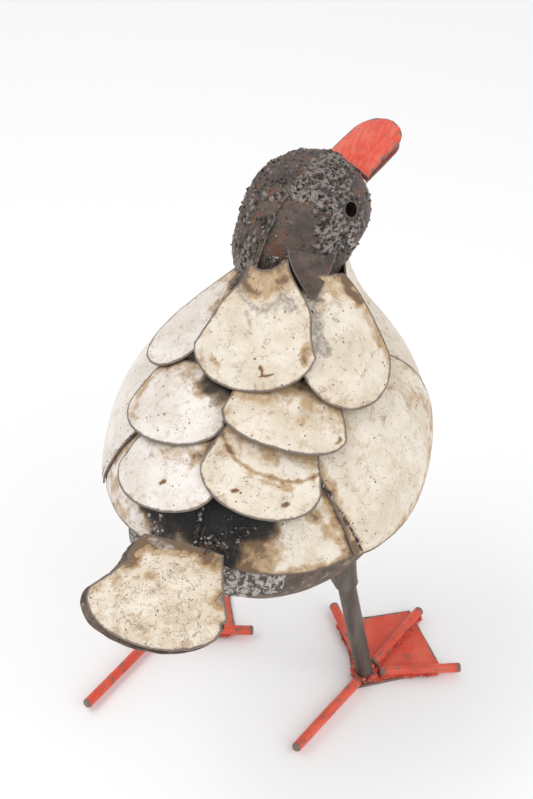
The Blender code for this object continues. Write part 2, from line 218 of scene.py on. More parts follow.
def add_piece(name, points, faces, finish, nodes=(), layers=None, sharp=32):
    """A mesh from design points and faces, with its named point values, riding on the one body.

    finish: its material and its slot. nodes: the solids that it stands in for.
    """
    mesh = bpy.data.meshes.new(name)
    placed = (np.asarray(points) + SHIFT) * MM
    low, high = np.array(CAD_BOX[0]), np.array(CAD_BOX[1])
    placed[:, :2] = np.clip(placed[:, :2], low[:2], high[:2])
    placed[:, 2] = np.maximum(placed[:, 2], low[2])
    # above the knee the heights are eased in, so that layers stay apart
    knee = high[2] - CROWN_EASE
    over = np.maximum(placed[:, 2] - knee, 0)
    placed[:, 2] = np.minimum(placed[:, 2], knee) + CROWN_EASE * (1 - np.exp(-over / CROWN_EASE))
    mesh.from_pydata(placed.tolist(), [], [list(map(int, face)) for face in faces])
    for layer, values in (layers or {}).items():
        attribute = mesh.attributes.new(layer, "FLOAT", "POINT")
        attribute.data.foreach_set("value", np.asarray(values, np.float32))
    mesh.shade_smooth()
    mesh.set_sharp_from_angle(angle=math.radians(sharp))
    material, slot = finish
    mesh.materials.append(material)
    piece = bpy.data.objects.new(name, mesh)
    bpy.context.scene.collection.objects.link(piece)
    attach(piece, "root")
    if nodes:
        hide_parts(*nodes)
    return piece


def grid_normals(points, facing):
    """Unit normals of a grid, on the side of facing."""
    down, across = np.gradient(points, axis=0), np.gradient(points, axis=1)
    normals = unit(np.cross(across, down))
    return np.where((normals * facing).sum(-1, keepdims=True) < 0, -normals, normals)


def border(points):
    return np.concatenate((points[0], points[1:, -1], points[-1, -2::-1], points[-2:0:-1, 0]))


def edge_distance(points):
    flat, rim = points.reshape(-1, 3), border(points)
    return np.concatenate([np.linalg.norm(part[:, None] - rim[None], axis=2).min(1)
                           for part in np.array_split(flat, len(flat) // 800 + 1)])


def spot_values(points, spots, part):
    """The strongest of the round spots that mark one part: (parts, place, radius, strength)."""
    values = np.zeros(len(points))
    for parts, place, radius, strength in spots:
        if part not in parts.split():
            continue
        distance = np.linalg.norm(points - np.array(place, float), axis=1)
        distance = distance + 0.25 * radius * rough(points, radius * 0.6, 5)
        values = np.maximum(values, strength * smooth(distance, radius, radius * 0.15))
    return values


def line_values(grid, marks):
    """Marks drawn on a grid: (list of (across, down) from 0 to 1, width in mm, strength)."""
    rows, columns = grid.shape[:2]
    flat = grid.reshape(-1, 3)
    values = np.zeros(len(flat))
    for line, width, strength in marks:
        distance = np.full(len(flat), 1e3)
        for (u0, v0), (u1, v1) in zip(line, line[1:]):
            t = np.linspace(0, 1, 9)
            down, across = (v0 + (v1 - v0) * t) * (rows - 1), (u0 + (u1 - u0) * t) * (columns - 1)
            spots = grid[np.round(down).astype(int), np.round(across).astype(int)]
            for a, b in zip(spots, spots[1:]):
                share = np.clip(((flat - a) @ (b - a)) / max((b - a) @ (b - a), 1e-6), 0, 1)
                distance = np.minimum(distance, np.linalg.norm(flat - a - share[:, None] * (b - a), axis=1))
        distance = distance + 0.35 * width * rough(flat, 5, 9)
        values = np.maximum(values, strength * smooth(distance, width, 0))
    return values


def add_sheet(name, grid, facing, finish, nodes=(), thickness=SHEET, dents=0.6, seed=1, marks=(),
              smears=(), hole=None, crust=None, part="", root_scorch_and_shade=(0, 1)):
    """A closed plate round a grid of middle points, dented, with its border, heat, painted root shade and
    stains recorded.

    marks and smears: brown and grey lines, as line_values takes them. crust: heights of burnt metal on it.
    part: the name that its heat and soot spots go by. scorch: how brown its root is, burnt and in painted
    shade, and how far down.
    """
    rows, columns = grid.shape[:2]
    normals = grid_normals(grid, facing)
    push = dents * (rough(grid, 38, seed) + 0.35 * rough(grid, 11, seed + 4))
    if crust is not None:
        push = push + crust
    grid = grid + normals * push[..., None]
    normals = grid_normals(grid, facing)
    count = rows * columns
    index = np.arange(count).reshape(rows, columns)
    quads = np.stack((index[:-1, :-1], index[:-1, 1:], index[1:, 1:], index[1:, :-1]), -1).reshape(-1, 4)
    top = grid + normals * thickness / 2
    bottom = grid - normals * thickness / 2
    kept = np.ones(len(quads), bool)
    rim = [list(border(index[..., None])[:, 0])]
    if hole is not None:
        centre, axis, radius = hole
        flat = grid.reshape(-1, 3)
        away = flat - centre
        along = (away @ axis)[:, None] * axis
        radial = away - along
        distance = np.linalg.norm(radial, axis=1)
        near = np.linalg.norm(along, axis=1) < 3 * radius
        kept = ~((distance[quads].mean(1) < radius) & near[quads].all(1))
        ringed = np.intersect1d(quads[kept].ravel(), quads[~kept].ravel())
        moved = along[ringed] + unit(radial[ringed]) * radius + centre
        for layer, side in ((top, 0.5), (bottom, -0.5)):
            layer.reshape(-1, 3)[ringed] = moved + normals.reshape(-1, 3)[ringed] * thickness * side
        other = unit(np.cross(axis, (0, 0, 1)))
        angles = np.arctan2(radial[ringed] @ np.cross(axis, other), radial[ringed] @ other)
        rim.append(list(ringed[np.argsort(angles)]))
    faces = [list(quad) for quad in quads[kept]]
    faces += [[a + count for a in quad[::-1]] for quad in quads[kept]]
    for loop in rim:
        for a, b in zip(loop, loop[1:] + loop[:1]):
            faces.append([b, a, a + count, b + count])
    points = np.concatenate((top.reshape(-1, 3), bottom.reshape(-1, 3)))
    flat = grid.reshape(-1, 3)
    edge = edge_distance(grid)
    down = np.repeat(np.linspace(0, 1, rows), columns) + 0.12 * rough(flat, 22, seed + 2)
    # the stronger of the heat spots and the root's browning, which is heat with painted shade
    burn_and_root_shade = np.maximum(spot_values(flat, HEAT, part), root_scorch_and_shade[0] * smooth(down, root_scorch_and_shade[1], root_scorch_and_shade[1] * 0.25))
    layers = {
        "edge": np.tile(edge, 2),
        "burn_and_root_shade": np.tile(burn_and_root_shade, 2),
        "soot": np.tile(spot_values(flat, SOOT, part), 2),
        "stain": np.tile(line_values(grid, marks), 2),
        "smear": np.tile(line_values(grid, smears), 2),
        "crest": np.tile(flat[:, 0] * 0 if crust is None else np.minimum(crust.reshape(-1), 1.3), 2),
        "under": np.repeat((0.0, 1.0), count),
    }
    piece = add_piece(name, points, faces, finish, nodes, layers)
    bm = bmesh.new()
    bm.from_mesh(piece.data)
    bmesh.ops.recalc_face_normals(bm, faces=bm.faces)
    bm.to_mesh(piece.data)
    bm.free()
    piece.data.set_sharp_from_angle(angle=math.radians(40))
    return grid, normals


def ball(subdivisions):
    bm = bmesh.new()
    bmesh.ops.create_icosphere(bm, subdivisions=subdivisions, radius=1)
    points = np.array([v.co for v in bm.verts])
    faces = np.array([[v.index for v in f.verts] for f in bm.faces])
    bm.free()
    return points, faces


def ring_shape(hole=0.62, sides=12, section=6):
    points, faces = [], []
    for i in range(sides):
        a = 2 * math.pi * i / sides
        for j in range(section):
            b = 2 * math.pi * j / section
            reach = hole + (1 - hole) * math.cos(b)
            points.append((math.cos(a) * reach, math.sin(a) * reach, (1 - hole) * math.sin(b)))
            i2, j2 = (i + 1) % sides, (j + 1) % section
            faces.append((i * section + j, i2 * section + j, i2 * section + j2, i * section + j2))
    return np.array(points), np.array(faces)


def add_lumps(name, centres, normals, radii, finish, seed=1, flat=0.7, shape=None, nodes=()):
    """Many small lumps of spatter or weld metal in one mesh, each pressed flat along its normal."""
    rng = np.random.default_rng(seed)
    base, base_faces = shape or ball(2)
    centres, normals, radii = np.asarray(centres, float), unit(normals), np.asarray(radii, float)
    n = len(centres)
    side = unit(np.cross(normals, rng.normal(size=(n, 3))))
    other = np.cross(normals, side)
    shape_noise = 1 + 0.28 * grain(base[None] * 1.7 + rng.uniform(0, 90, (n, 1, 3)), 1.1, seed)
    local = base[None] * shape_noise[..., None] * radii[:, None, None]
    stretch = rng.uniform(0.8, 1.35, (n, 1))
    points = (centres[:, None] + side[:, None] * (local[..., :1] * stretch[..., None])
              + other[:, None] * (local[..., 1:2] / stretch[..., None])
              + normals[:, None] * (local[..., 2:] * flat))
    faces = (base_faces[None] + (np.arange(n) * len(base))[:, None, None]).reshape(-1, base_faces.shape[1])
    tint = np.repeat(rng.uniform(0, 1, n), len(base))
    return add_piece(name, points.reshape(-1, 3), faces, finish, nodes, {"tint": tint}, sharp=60)


def along_path(path, step, seed, jitter):
    """Points about every step along a polyline, shaken by jitter."""
    path = np.asarray(path, float)
    lengths = np.linalg.norm(np.diff(path, axis=0), axis=1)
    marks = np.concatenate(([0], np.cumsum(lengths)))
    rng = np.random.default_rng(seed)
    places = np.arange(0, marks[-1], step) + rng.uniform(0, step, len(np.arange(0, marks[-1], step)))
    points = np.stack([np.interp(places, marks, path[:, i]) for i in range(3)], -1)
    return points + rng.normal(0, jitter, points.shape)


def add_weld(name, path, facing, radius, finish, seed=1, nodes=(), flat=0.7):
    """A weld laid along a path, as overlapping lumps."""
    points = along_path(path, radius * 0.55, seed, radius * 0.28)
    rng = np.random.default_rng(seed + 1)
    radii = radius * rng.uniform(0.55, 1.1, len(points))
    normals = np.tile(unit(facing), (len(points), 1)) + rng.normal(0, 0.2, points.shape)
    return add_lumps(name, points, normals, radii, finish, seed, flat, nodes=nodes)


def add_tube(name, path, radii, finish, nodes=(), sides=28, lumpy=0.0, seed=1):
    """A round bar along a path, with capped ends."""
    path, radii = np.asarray(path, float), np.asarray(radii, float)
    ahead = unit(np.gradient(path, axis=0))
    guide = np.array((0, 0, 1.0)) if abs(ahead[0][2]) < 0.8 else np.array((0, 1.0, 0))
    side = unit(np.cross(ahead, guide))
    other = np.cross(ahead, side)
    a = np.linspace(0, 2 * math.pi, sides, endpoint=False)
    ring = side[:, None] * np.cos(a)[None, :, None] + other[:, None] * np.sin(a)[None, :, None]
    points = path[:, None] + ring * radii[:, None, None]
    points = points + ring * (lumpy * rough(points, 9, seed))[..., None]
    n = len(path)
    index = np.arange(n * sides).reshape(n, sides)
    following = np.roll(index, -1, axis=1)
    faces = np.stack((index[:-1], following[:-1], following[1:], index[1:]), -1).reshape(-1, 4).tolist()
    faces += [list(index[0][::-1]), list(index[-1])]
    flat = points.reshape(-1, 3)
    ends = np.minimum(np.linalg.norm(flat - path[0], axis=1), np.linalg.norm(flat - path[-1], axis=1))
    layers = {"edge": ends - radii.max(), "tint": np.full(len(flat), 0.3)}
    return add_piece(name, flat, faces, finish, nodes, layers)


# ---- finishes ----

class Finish:
    """One material and the nodes that colour it."""

    def __init__(self, name):
        self.material = bpy.data.materials.new(name)
        self.material.use_nodes = True
        self.tree = self.material.node_tree
        self.shader = self.tree.nodes["Principled BSDF"]
        self.place = self.tree.nodes.new("ShaderNodeTexCoord").outputs["Object"]

    def node(self, kind, inputs=None, **settings):
        node = self.tree.nodes.new(kind)
        for key, value in settings.items():
            setattr(node, key, value)
        for key, value in (inputs or {}).items():
            self.feed(node.inputs[key], value)
        return node

    def feed(self, socket, value):
        if isinstance(value, bpy.types.NodeSocket):
            self.tree.links.new(value, socket)
        elif isinstance(value, tuple) and socket.type == "RGBA":
            socket.default_value = (*value, 1)
        else:
            socket.default_value = value

    def read(self, layer):
        return self.node("ShaderNodeAttribute", attribute_name=layer).outputs["Fac"]

    def noise(self, size, detail=4.0, roughness=0.55, distortion=0.0, place=None):
        """Fractal noise from 0 to 1, with lumps about size millimetres across."""
        return self.node("ShaderNodeTexNoise", {
            "Vector": place or self.place, "Scale": 1 / (size * MM), "Detail": detail,
            "Roughness": roughness, "Distortion": distortion}).outputs["Fac"]

    def stretched(self, turn, scale):
        """The place, turned and stretched, for brush marks and scratches."""
        inputs = {"Vector": self.place, "Rotation": turn, "Scale": scale}
        return self.node("ShaderNodeMapping", inputs).outputs[0]

    def cells(self, size, output="Distance"):
        inputs = {"Vector": self.place, "Scale": 1 / (size * MM)}
        return self.node("ShaderNodeTexVoronoi", inputs).outputs[output]

    def calc(self, operation, a, b=0.0):
        return self.node("ShaderNodeMath", {0: a, 1: b}, operation=operation).outputs[0]

    def add(self, *values):
        total = values[0]
        for value in values[1:]:
            total = self.calc("ADD", total, value)
        return total

    def times(self, a, b):
        return self.calc("MULTIPLY", a, b)

    def contour(self, value, width):
        """Thin lines where noise crosses its middle."""
        away = self.calc("ABSOLUTE", self.calc("SUBTRACT", value, 0.5))
        return self.step(away, width, width * 0.35)

    def step(self, value, low, high, start=0.0, end=1.0):
        return self.node("ShaderNodeMapRange", {
            "Value": value, "From Min": low, "From Max": high, "To Min": start, "To Max": end},
            interpolation_type="SMOOTHSTEP").outputs[0]

    def blend(self, amount, a, b):
        node = self.node("ShaderNodeMix", data_type="RGBA")
        self.feed(node.inputs[0], amount)
        self.feed(node.inputs[6], a)
        self.feed(node.inputs[7], b)
        return node.outputs[2]

    def over(self, colour, mask, low, high, shade, amount=None):
        """A shade laid over a colour as a mask goes from low to high."""
        share = self.step(mask, low, high)
        if amount is not None:
            share = self.times(share, amount)
        return self.blend(share, colour, shade)

    def done(self, colour, roughness, height, strength=0.4, distance=0.5, metallic=0.0):
        self.feed(self.shader.inputs["Base Color"], colour)
        self.feed(self.shader.inputs["Roughness"], roughness)
        self.feed(self.shader.inputs["Metallic"], metallic)
        inputs = {"Height": height, "Strength": strength, "Distance": distance * MM}
        bump = self.node("ShaderNodeBump", inputs)
        self.feed(self.shader.inputs["Normal"], bump.outputs[0])
        return self.material


GOLD = (0.42, 0.255, 0.105)
BROWN = (0.13, 0.075, 0.040)
RIM = (0.15, 0.115, 0.09)
BLACK = (0.010, 0.009, 0.009)


def painted(name, base, light, grime=1.0, scrawl=0.0):
    """Old brushed paint on steel: cloudy, scratched, speckled, bare at the edges, burnt by welding, and
    browned by painted shade at the roots of plates.
    """
    f = Finish(name)
    edge, burn_and_root_shade, soot, stain = (f.read(layer) for layer in ("edge", "burn_and_root_shade", "soot", "stain"))
    cloud = f.noise(34, 5, 0.6)
    fine = f.noise(3.0, 5, 0.65)
    patch = f.noise(12, 6, 0.68, 0.4)
    colour = f.blend(f.step(cloud, 0.35, 0.62), base, light)
    brush = f.noise(9, 3, 0.5, 0, f.stretched((0.3, 0.2, 0.5), (1, 9, 1)))
    colour = f.over(colour, brush, 0.5, 0.72, (0.62, 0.51, 0.37), 0.28 * grime)
    dingy = f.noise(21, 6, 0.7, 0.3)
    colour = f.over(colour, dingy, 0.50, 0.66, (0.58, 0.455, 0.31), 0.36 * grime)
    # yellow-brown staining, thick near the border and round the welds, and painted shade browning plate
    # roots
    near = f.step(edge, 16, 0)
    stain_and_root_shade = f.add(f.times(patch, 1.0), f.times(near, 0.13 * grime), f.times(burn_and_root_shade, 0.42), f.times(stain, 0.5))
    colour = f.over(colour, stain_and_root_shade, 0.56, 0.86, GOLD, 0.80)
    colour = f.over(colour, stain_and_root_shade, 0.86, 1.14, BROWN, 0.88)
    # scribbled scratches: contour lines of noise, broken up
    scribble = f.times(f.contour(f.noise(13, 2, 0.5, 0.9), 0.010),
                       f.step(f.noise(11, 2, 0.5), 0.50 - 0.10 * scrawl, 0.60 - 0.08 * scrawl))
    curl = f.times(f.contour(f.noise(6.5, 2, 0.5, 1.3), 0.022),
                   f.step(f.noise(8, 2, 0.5), 0.54 - 0.10 * scrawl, 0.62 - 0.08 * scrawl))
    scribble = f.calc("MAXIMUM", scribble, curl)
    scratch = f.noise(5, 2, 0.5, 0, f.stretched((0.4, 0.9, 0.2), (1, 14, 5)))
    lines = f.calc("MAXIMUM", scribble, f.times(f.step(scratch, 0.69, 0.73), 0.7))
    colour = f.blend(f.times(lines, 0.62 * grime), colour, (0.22, 0.135, 0.07))
    # dark specks
    speck = f.cells(6.5)
    chosen = f.cells(6.5, output="Color")
    big = f.step(f.calc("SUBTRACT", speck, f.times(chosen, 0.17)), 0.02, -0.01)
    colour = f.blend(f.times(big, 0.88), colour, BROWN)
    colour = f.over(colour, f.noise(1.7, 2, 0.5), 0.68, 0.74, (0.28, 0.19, 0.12), 0.6)
    # scraped grey by the torch
    smear = f.add(f.read("smear"), f.times(patch, 0.7), f.times(fine, 0.35))
    grey = f.blend(f.step(fine, 0.40, 0.62), (0.20, 0.155, 0.12), (0.50, 0.45, 0.39))
    colour = f.over(colour, smear, 0.85, 1.35, grey, 0.72)
    # worn to steel along the border
    bite = f.add(edge, f.times(fine, -1.8), f.times(patch, -2.6))
    colour = f.over(colour, bite, 0.5, -1.2, RIM, 0.96)
    # burnt black, with ash
    burnt = f.add(soot, f.times(patch, 0.75), f.times(fine, 0.15))
    colour = f.over(colour, burnt, 0.48, 0.80, (0.20, 0.115, 0.050), 0.75)
    colour = f.over(colour, burnt, 0.66, 1.02, (0.055, 0.034, 0.022), 0.92)
    colour = f.over(colour, burnt, 0.90, 1.22, BLACK)
    flakes = f.times(f.step(f.noise(3.6, 5, 0.75, 1.6), 0.60, 0.68), f.step(burnt, 0.85, 1.1))
    colour = f.blend(f.times(flakes, 0.42), colour, (0.30, 0.26, 0.22))
    # the inner side is bare and rusty
    under = f.read("under")
    colour = f.over(colour, under, 0.6, 0.9, f.blend(patch, (0.10, 0.06, 0.04), (0.24, 0.17, 0.12)))
    gloss = f.add(0.34, f.times(fine, 0.18), f.times(f.step(stain_and_root_shade, 0.5, 1.0), 0.25))
    height = f.add(f.times(fine, 0.5), f.times(patch, 0.7), f.times(lines, -0.5), f.times(big, -0.6),
                   f.times(f.step(smear, 0.8, 1.1), 0.8))
    return f.done(colour, gloss, height, 0.5, 0.6)


def rusty_head():
    """Brown-grey scorched steel with a crust of spatter, with painted shade in its pits and painted
    highlights on its crests.
    """
    f = Finish("head_crust")
    crest = f.read("crest")
    cloud = f.noise(22, 5, 0.65)
    fine = f.noise(2.2, 5, 0.7)
    colour = f.blend(f.step(cloud, 0.38, 0.64), (0.070, 0.055, 0.048), (0.135, 0.096, 0.076))
    rust = f.noise(17, 5, 0.7, 0.6)
    colour = f.over(colour, rust, 0.53, 0.68, (0.21, 0.085, 0.044), 0.8)
    grey = f.noise(5, 5, 0.7, 0.5)
    colour = f.over(colour, grey, 0.56, 0.72, (0.20, 0.185, 0.175), 0.55)
    # the crust's height with noise: crests pale with painted highlights, pits near black with painted shade
    high = f.add(crest, f.times(fine, 1.4), f.times(grey, 0.8))
    colour = f.over(colour, high, 1.75, 2.7, (0.34, 0.315, 0.295), 0.85)
    colour = f.over(colour, high, 0.55, 0.05, (0.016, 0.013, 0.012), 0.9)
    colour = f.over(colour, fine, 0.42, 0.32, (0.018, 0.015, 0.014), 0.75)
    edge = f.read("edge")
    colour = f.over(colour, edge, 1.6, 0.6, (0.28, 0.25, 0.23), 0.45)
    height = f.add(f.times(grey, 1.2), f.times(fine, 0.7))
    return f.done(colour, f.step(fine, 0.3, 0.7, 0.34, 0.62), height, 0.85, 1.0, 0.35)


def spatter_metal(name, dark, bright_and_glint, shine):
    """Beads of weld metal, most of them burnt dark and a few bright: bare metal with a painted glint."""
    f = Finish(name)
    tint = f.read("tint")
    fine = f.noise(1.6, 4, 0.7)
    # the beads with the highest tint turn bright, bare metal with a painted glint
    mixed = f.add(f.times(f.times(tint, tint), 0.9), f.times(fine, 0.5))
    colour = f.blend(f.step(mixed, 0.25, 1.05), dark, bright_and_glint)
    rust = f.noise(6, 3, 0.6)
    colour = f.over(colour, rust, 0.54, 0.66, (0.17, 0.070, 0.034), 0.6)
    return f.done(colour, f.step(fine, 0.3, 0.7, 0.28, 0.52), fine, 0.5, 0.4, shine)


def bare_steel():
    """Brown-grey steel, rubbed smooth, with faint lengthways streaks."""
    f = Finish("bare_steel")
    streak = f.noise(9, 4, 0.6, 0, f.stretched((0, 0, 0), (1, 1, 0.14)))
    cloud = f.noise(20, 5, 0.6)
    fine = f.noise(1.8, 4, 0.65)
    colour = f.blend(f.step(streak, 0.30, 0.70), (0.095, 0.074, 0.062), (0.165, 0.138, 0.118))
    colour = f.over(colour, cloud, 0.56, 0.72, (0.115, 0.068, 0.045), 0.5)
    colour = f.over(colour, fine, 0.62, 0.74, (0.26, 0.235, 0.21), 0.5)
    colour = f.over(colour, f.read("burn_and_root_shade"), 0.3, 1.0, (0.05, 0.035, 0.03), 0.5)
    colour = f.over(colour, f.add(f.read("soot"), f.times(fine, 0.4)), 0.55, 0.95, BLACK)
    height = f.add(f.times(streak, 0.6), f.times(fine, 0.5))
    return f.done(colour, f.step(fine, 0.3, 0.7, 0.36, 0.58), height, 0.35, 0.4, 0.5)


def brown_plate(name, shade=1.0):
    """Bare plate, brown and blotched, with a trace of old paint. A shade under 1 darkens it in patches."""
    f = Finish(name)
    cloud = f.noise(16, 6, 0.68, 0.5)
    fine = f.noise(2.2, 4, 0.7)
    colour = f.blend(f.step(cloud, 0.36, 0.66), (0.075, 0.050, 0.036), (0.19, 0.13, 0.092))
    colour = f.over(colour, f.noise(9, 4, 0.6), 0.58, 0.70, (0.38, 0.32, 0.25), 0.6)
    colour = f.over(colour, fine, 0.42, 0.30, (0.03, 0.022, 0.018), 0.8)
    colour = f.over(colour, f.noise(5, 5, 0.7, 0.8), 0.46, 0.60, (0.03, 0.021, 0.016), 1 - shade)
    colour = f.over(colour, f.add(f.read("soot"), f.times(cloud, 0.5)), 0.62, 0.95, BLACK)
    height = f.add(f.times(cloud, 1.0), f.times(fine, 0.6))
    return f.done(colour, f.step(fine, 0.3, 0.7, 0.45, 0.7), height, 0.6, 0.7, 0.25)


def flaked_strip():
    """Grey-white paint coming off in flakes."""
    f = Finish("flaked_strip")
    patch = f.noise(5.5, 6, 0.72, 0.8)
    fine = f.noise(1.5, 4, 0.7)
    colour = f.blend(f.step(patch, 0.46, 0.54), (0.085, 0.065, 0.055), (0.50, 0.46, 0.42))
    colour = f.over(colour, fine, 0.56, 0.66, (0.06, 0.045, 0.04), 0.8)
    return f.done(colour, 0.62, f.add(patch, f.times(fine, 0.4)), 0.7, 0.7, 0.1)


def red_paint(name, chips=0.0, streaks=0.0):
    """Thick glossy red, dusty on top, brushed on, and chipped down to the steel."""
    f = Finish(name)
    cloud = f.noise(26, 4, 0.6)
    fine = f.noise(2.4, 5, 0.7)
    patch = f.noise(7, 6, 0.7, 0.5)
    colour = f.blend(f.step(cloud, 0.35, 0.65), (0.70, 0.072, 0.036), (0.80, 0.125, 0.070))
    colour = f.over(colour, patch, 0.52, 0.70, (0.80, 0.25, 0.19), 0.35)
    brush = f.noise(3.2, 3, 0.6, 0.3, f.stretched((0, 0, 0.9), (1, 0.12, 1)))
    colour = f.over(colour, brush, 0.46, 0.64, (0.80, 0.30, 0.22), 0.5 * streaks)
    colour = f.over(colour, brush, 0.46, 0.34, (0.42, 0.035, 0.022), 0.5 * streaks)
    bite = f.add(f.read("edge"), f.times(fine, -3.0), f.times(patch, -9.0))
    chip = f.step(f.add(patch, f.times(fine, 0.35)), 0.80 - 0.05 * chips, 0.83 - 0.05 * chips)
    chip = f.calc("MAXIMUM", chip, f.step(bite, -4.2, -5.2))
    colour = f.blend(f.times(chip, 0.94), colour, f.blend(fine, (0.07, 0.045, 0.035), (0.26, 0.22, 0.185)))
    spots = f.step(f.cells(4.2), 0.15, 0.07)
    colour = f.blend(f.times(f.times(spots, f.step(cloud, 0.4, 0.6)), 0.85), colour, (0.12, 0.02, 0.015))
    height = f.add(f.times(fine, 0.6), f.times(patch, 1.0), f.times(chip, -0.8),
                   f.times(brush, 1.2 * streaks))
    return f.done(colour, f.step(fine, 0.3, 0.75, 0.30, 0.5), height, 0.6, 0.7)


def red_weld():
    """Lumps of weld under the same red, bare here and there."""
    f = Finish("red_weld")
    fine = f.noise(2.0, 4, 0.7)
    colour = f.blend(f.step(f.noise(9, 3, 0.6), 0.4, 0.62), (0.54, 0.052, 0.028), (0.68, 0.115, 0.070))
    bare = f.step(f.add(f.noise(5, 4, 0.7), f.times(f.read("tint"), 0.16)), 0.62, 0.67)
    colour = f.blend(f.times(bare, 0.9), colour, (0.17, 0.13, 0.105))
    return f.done(colour, f.step(fine, 0.3, 0.7, 0.28, 0.46), fine, 0.5, 0.5)


# each finish: its material and its slot
CREAM = (painted("cream_paint", (0.67, 0.58, 0.455), (0.80, 0.725, 0.62), 1.0), "cream_paint")
# a paler, less yellow copy of the cream for the duck's left, towards the key light: painted light
CREAM_WITH_PAINTED_LIGHT = (painted("pale_paint", (0.73, 0.66, 0.59), (0.84, 0.79, 0.745), 0.75), "pale_paint")
TAIL = (painted("tail_paint", (0.66, 0.56, 0.43), (0.79, 0.705, 0.59), 1.2, 1.0), "cream_paint")
CRUST = (rusty_head(), "rusty_steel")
BEADS = (spatter_metal("spatter", (0.035, 0.029, 0.026), (0.27, 0.255, 0.245), 0.5), "rusty_steel")
SLAG = (spatter_metal("weld_metal", (0.030, 0.025, 0.022), (0.38, 0.36, 0.34), 0.6), "bare_steel")
# near black lumps of painted shade, for the dark inside of burnt-through holes
HOLE_SHADE = (spatter_metal("painted_hole_shade", (0.006, 0.005, 0.005), (0.012, 0.010, 0.010), 0.0), "sooty_steel")
BARE = (bare_steel(), "bare_steel")
PLATE = (brown_plate("brown_plate"), "rusty_steel")
BARE_PLATE = (PLATE[0], "bare_steel")
SOOTY_PLATE = (PLATE[0], "sooty_steel")
RIMMED = (brown_plate("burnt_plate", 0.55), "bare_steel")
FLAKED = (flaked_strip(), "bare_steel")
RED = (red_paint("red_paint"), "red_paint")
RED_BARS = (red_paint("red_bars", chips=1.0), "red_paint")
BILL = (red_paint("bill_paint", streaks=0.5), "red_paint")
RED_WELD = (red_weld(), "red_paint")

# where welding burnt the paint: parts that it reaches, place, radius and strength
HEAT = (
    ("middle_left side_left", (62, 44, 395), 22, 0.8),
    ("middle_left", (8, 69, 402), 26, 0.75),
    ("middle_right", (-8, 62, 404), 30, 0.9),
    ("middle_right", (-60, 60, 398), 26, 0.7),
    ("side_right", (-84, 62, 388), 30, 0.75),
    ("lower_left", (16, 104, 381), 22, 0.6),
    ("lower_right", (-14, 104, 385), 24, 0.8),
    ("lower_right", (-62, 98, 380), 22, 0.7),
    ("tail", (28, 182, 326), 26, 0.9),
    ("tail", (-24, 184, 326), 22, 1.0),
    ("rump_left rump_right back", (-6, 166, 335), 50, 1.1),
    ("rump_right", (-34, 152, 336), 52, 0.95),
    ("rump_left", (46, 150, 320), 26, 0.7),
    ("collar", (-2, 4, 478), 36, 0.85),
    ("shoulder_left", (20, -6, 448), 34, 0.8),
    ("shoulder_right", (-50, -18, 448), 32, 0.75),
    ("breast_right", (-72, -43, 428), 16, 1.0),
    ("rump_right side_right", (-85, 120, 343), 14, 0.7),
    ("rump_right side_right", (-118, 113, 301), 14, 0.8),
    ("rump_left side_left", (93, 118, 313), 14, 0.8),
)
SOOT = (
    ("middle_left", (10, 62, 400), 28, 0.85),
    ("middle_left side_left", (66, 42, 392), 18, 0.9),
    ("middle_right", (-4, 50, 402), 12, 0.8),
    ("lower_right lower_left", (-7, 92, 384), 14, 0.6),
    ("rump_left rump_right back strip", (2, 156, 340), 50, 1.15),
    ("rump_right back", (-30, 146, 342), 46, 1.05),
    ("rump_left back", (36, 146, 334), 36, 0.95),
    ("rump_right", (-28, 170, 318), 24, 1.0),
    ("tail", (-20, 180, 326), 9, 0.8),
    ("collar", (-34, 16, 450), 15, 0.7),
    ("collar", (16, 6, 462), 13, 0.8),
    ("shoulder_left", (18, -10, 450), 24, 0.75),
    ("shoulder_right", (-36, -10, 452), 20, 0.7),
    ("collar_tab", (-44, -4, 450), 22, 0.6),
)


# ---- the duck ----

def frayed(u, v, amount, seed, reach=5):
    """Shares across and down a plate, with each border moved in and out at random."""
    far = seed * 11.0
    top = amount * (wobble(u + far, 0.23, seed) + 0.6 * wobble(u + far, 0.05, seed + 1))
    low = amount * (wobble(u + far, 0.21, seed + 2) + 0.6 * wobble(u + far, 0.045, seed + 3))
    left = amount * (wobble(v + far, 0.22, seed + 4) + 0.6 * wobble(v + far, 0.05, seed + 5))
    right = amount * (wobble(v + far, 0.24, seed + 6) + 0.6 * wobble(v + far, 0.05, seed + 7))
    return (u + left * (1 - u) ** reach + right * u ** reach,
            v + top * (1 - v) ** reach + low * v ** reach)


def shares(rows, columns):
    v, u = np.meshgrid(np.linspace(0, 1, rows + 1), np.linspace(0, 1, columns + 1), indexing="ij")
    return u, v


def panel_grid(form, corners, bows, lift, cells, seed, fray=0.006):
    u, v = frayed(*shares(*cells), fray, seed)
    a, b, c, d = (look(*corner) for corner in corners)
    middle = (a + b + c + d) / 4
    edges = ((a + b) / 2, (b + c) / 2, (c + d) / 2, (d + a) / 2)
    out = [unit(edge - middle) * bow for edge, bow in zip(edges, bows)]
    u, v = u[..., None], v[..., None]
    direction = (a * (1 - u) + b * u) * (1 - v) + (d * (1 - u) + c * u) * v
    direction = direction + (out[0] * (1 - v) + out[2] * v) * 4 * u * (1 - u)
    direction = direction + (out[1] * u + out[3] * (1 - u)) * 4 * v * (1 - v)
    points = skin(form, unit(direction))
    normals = outward(form, points)
    return points + normals * lift, normals


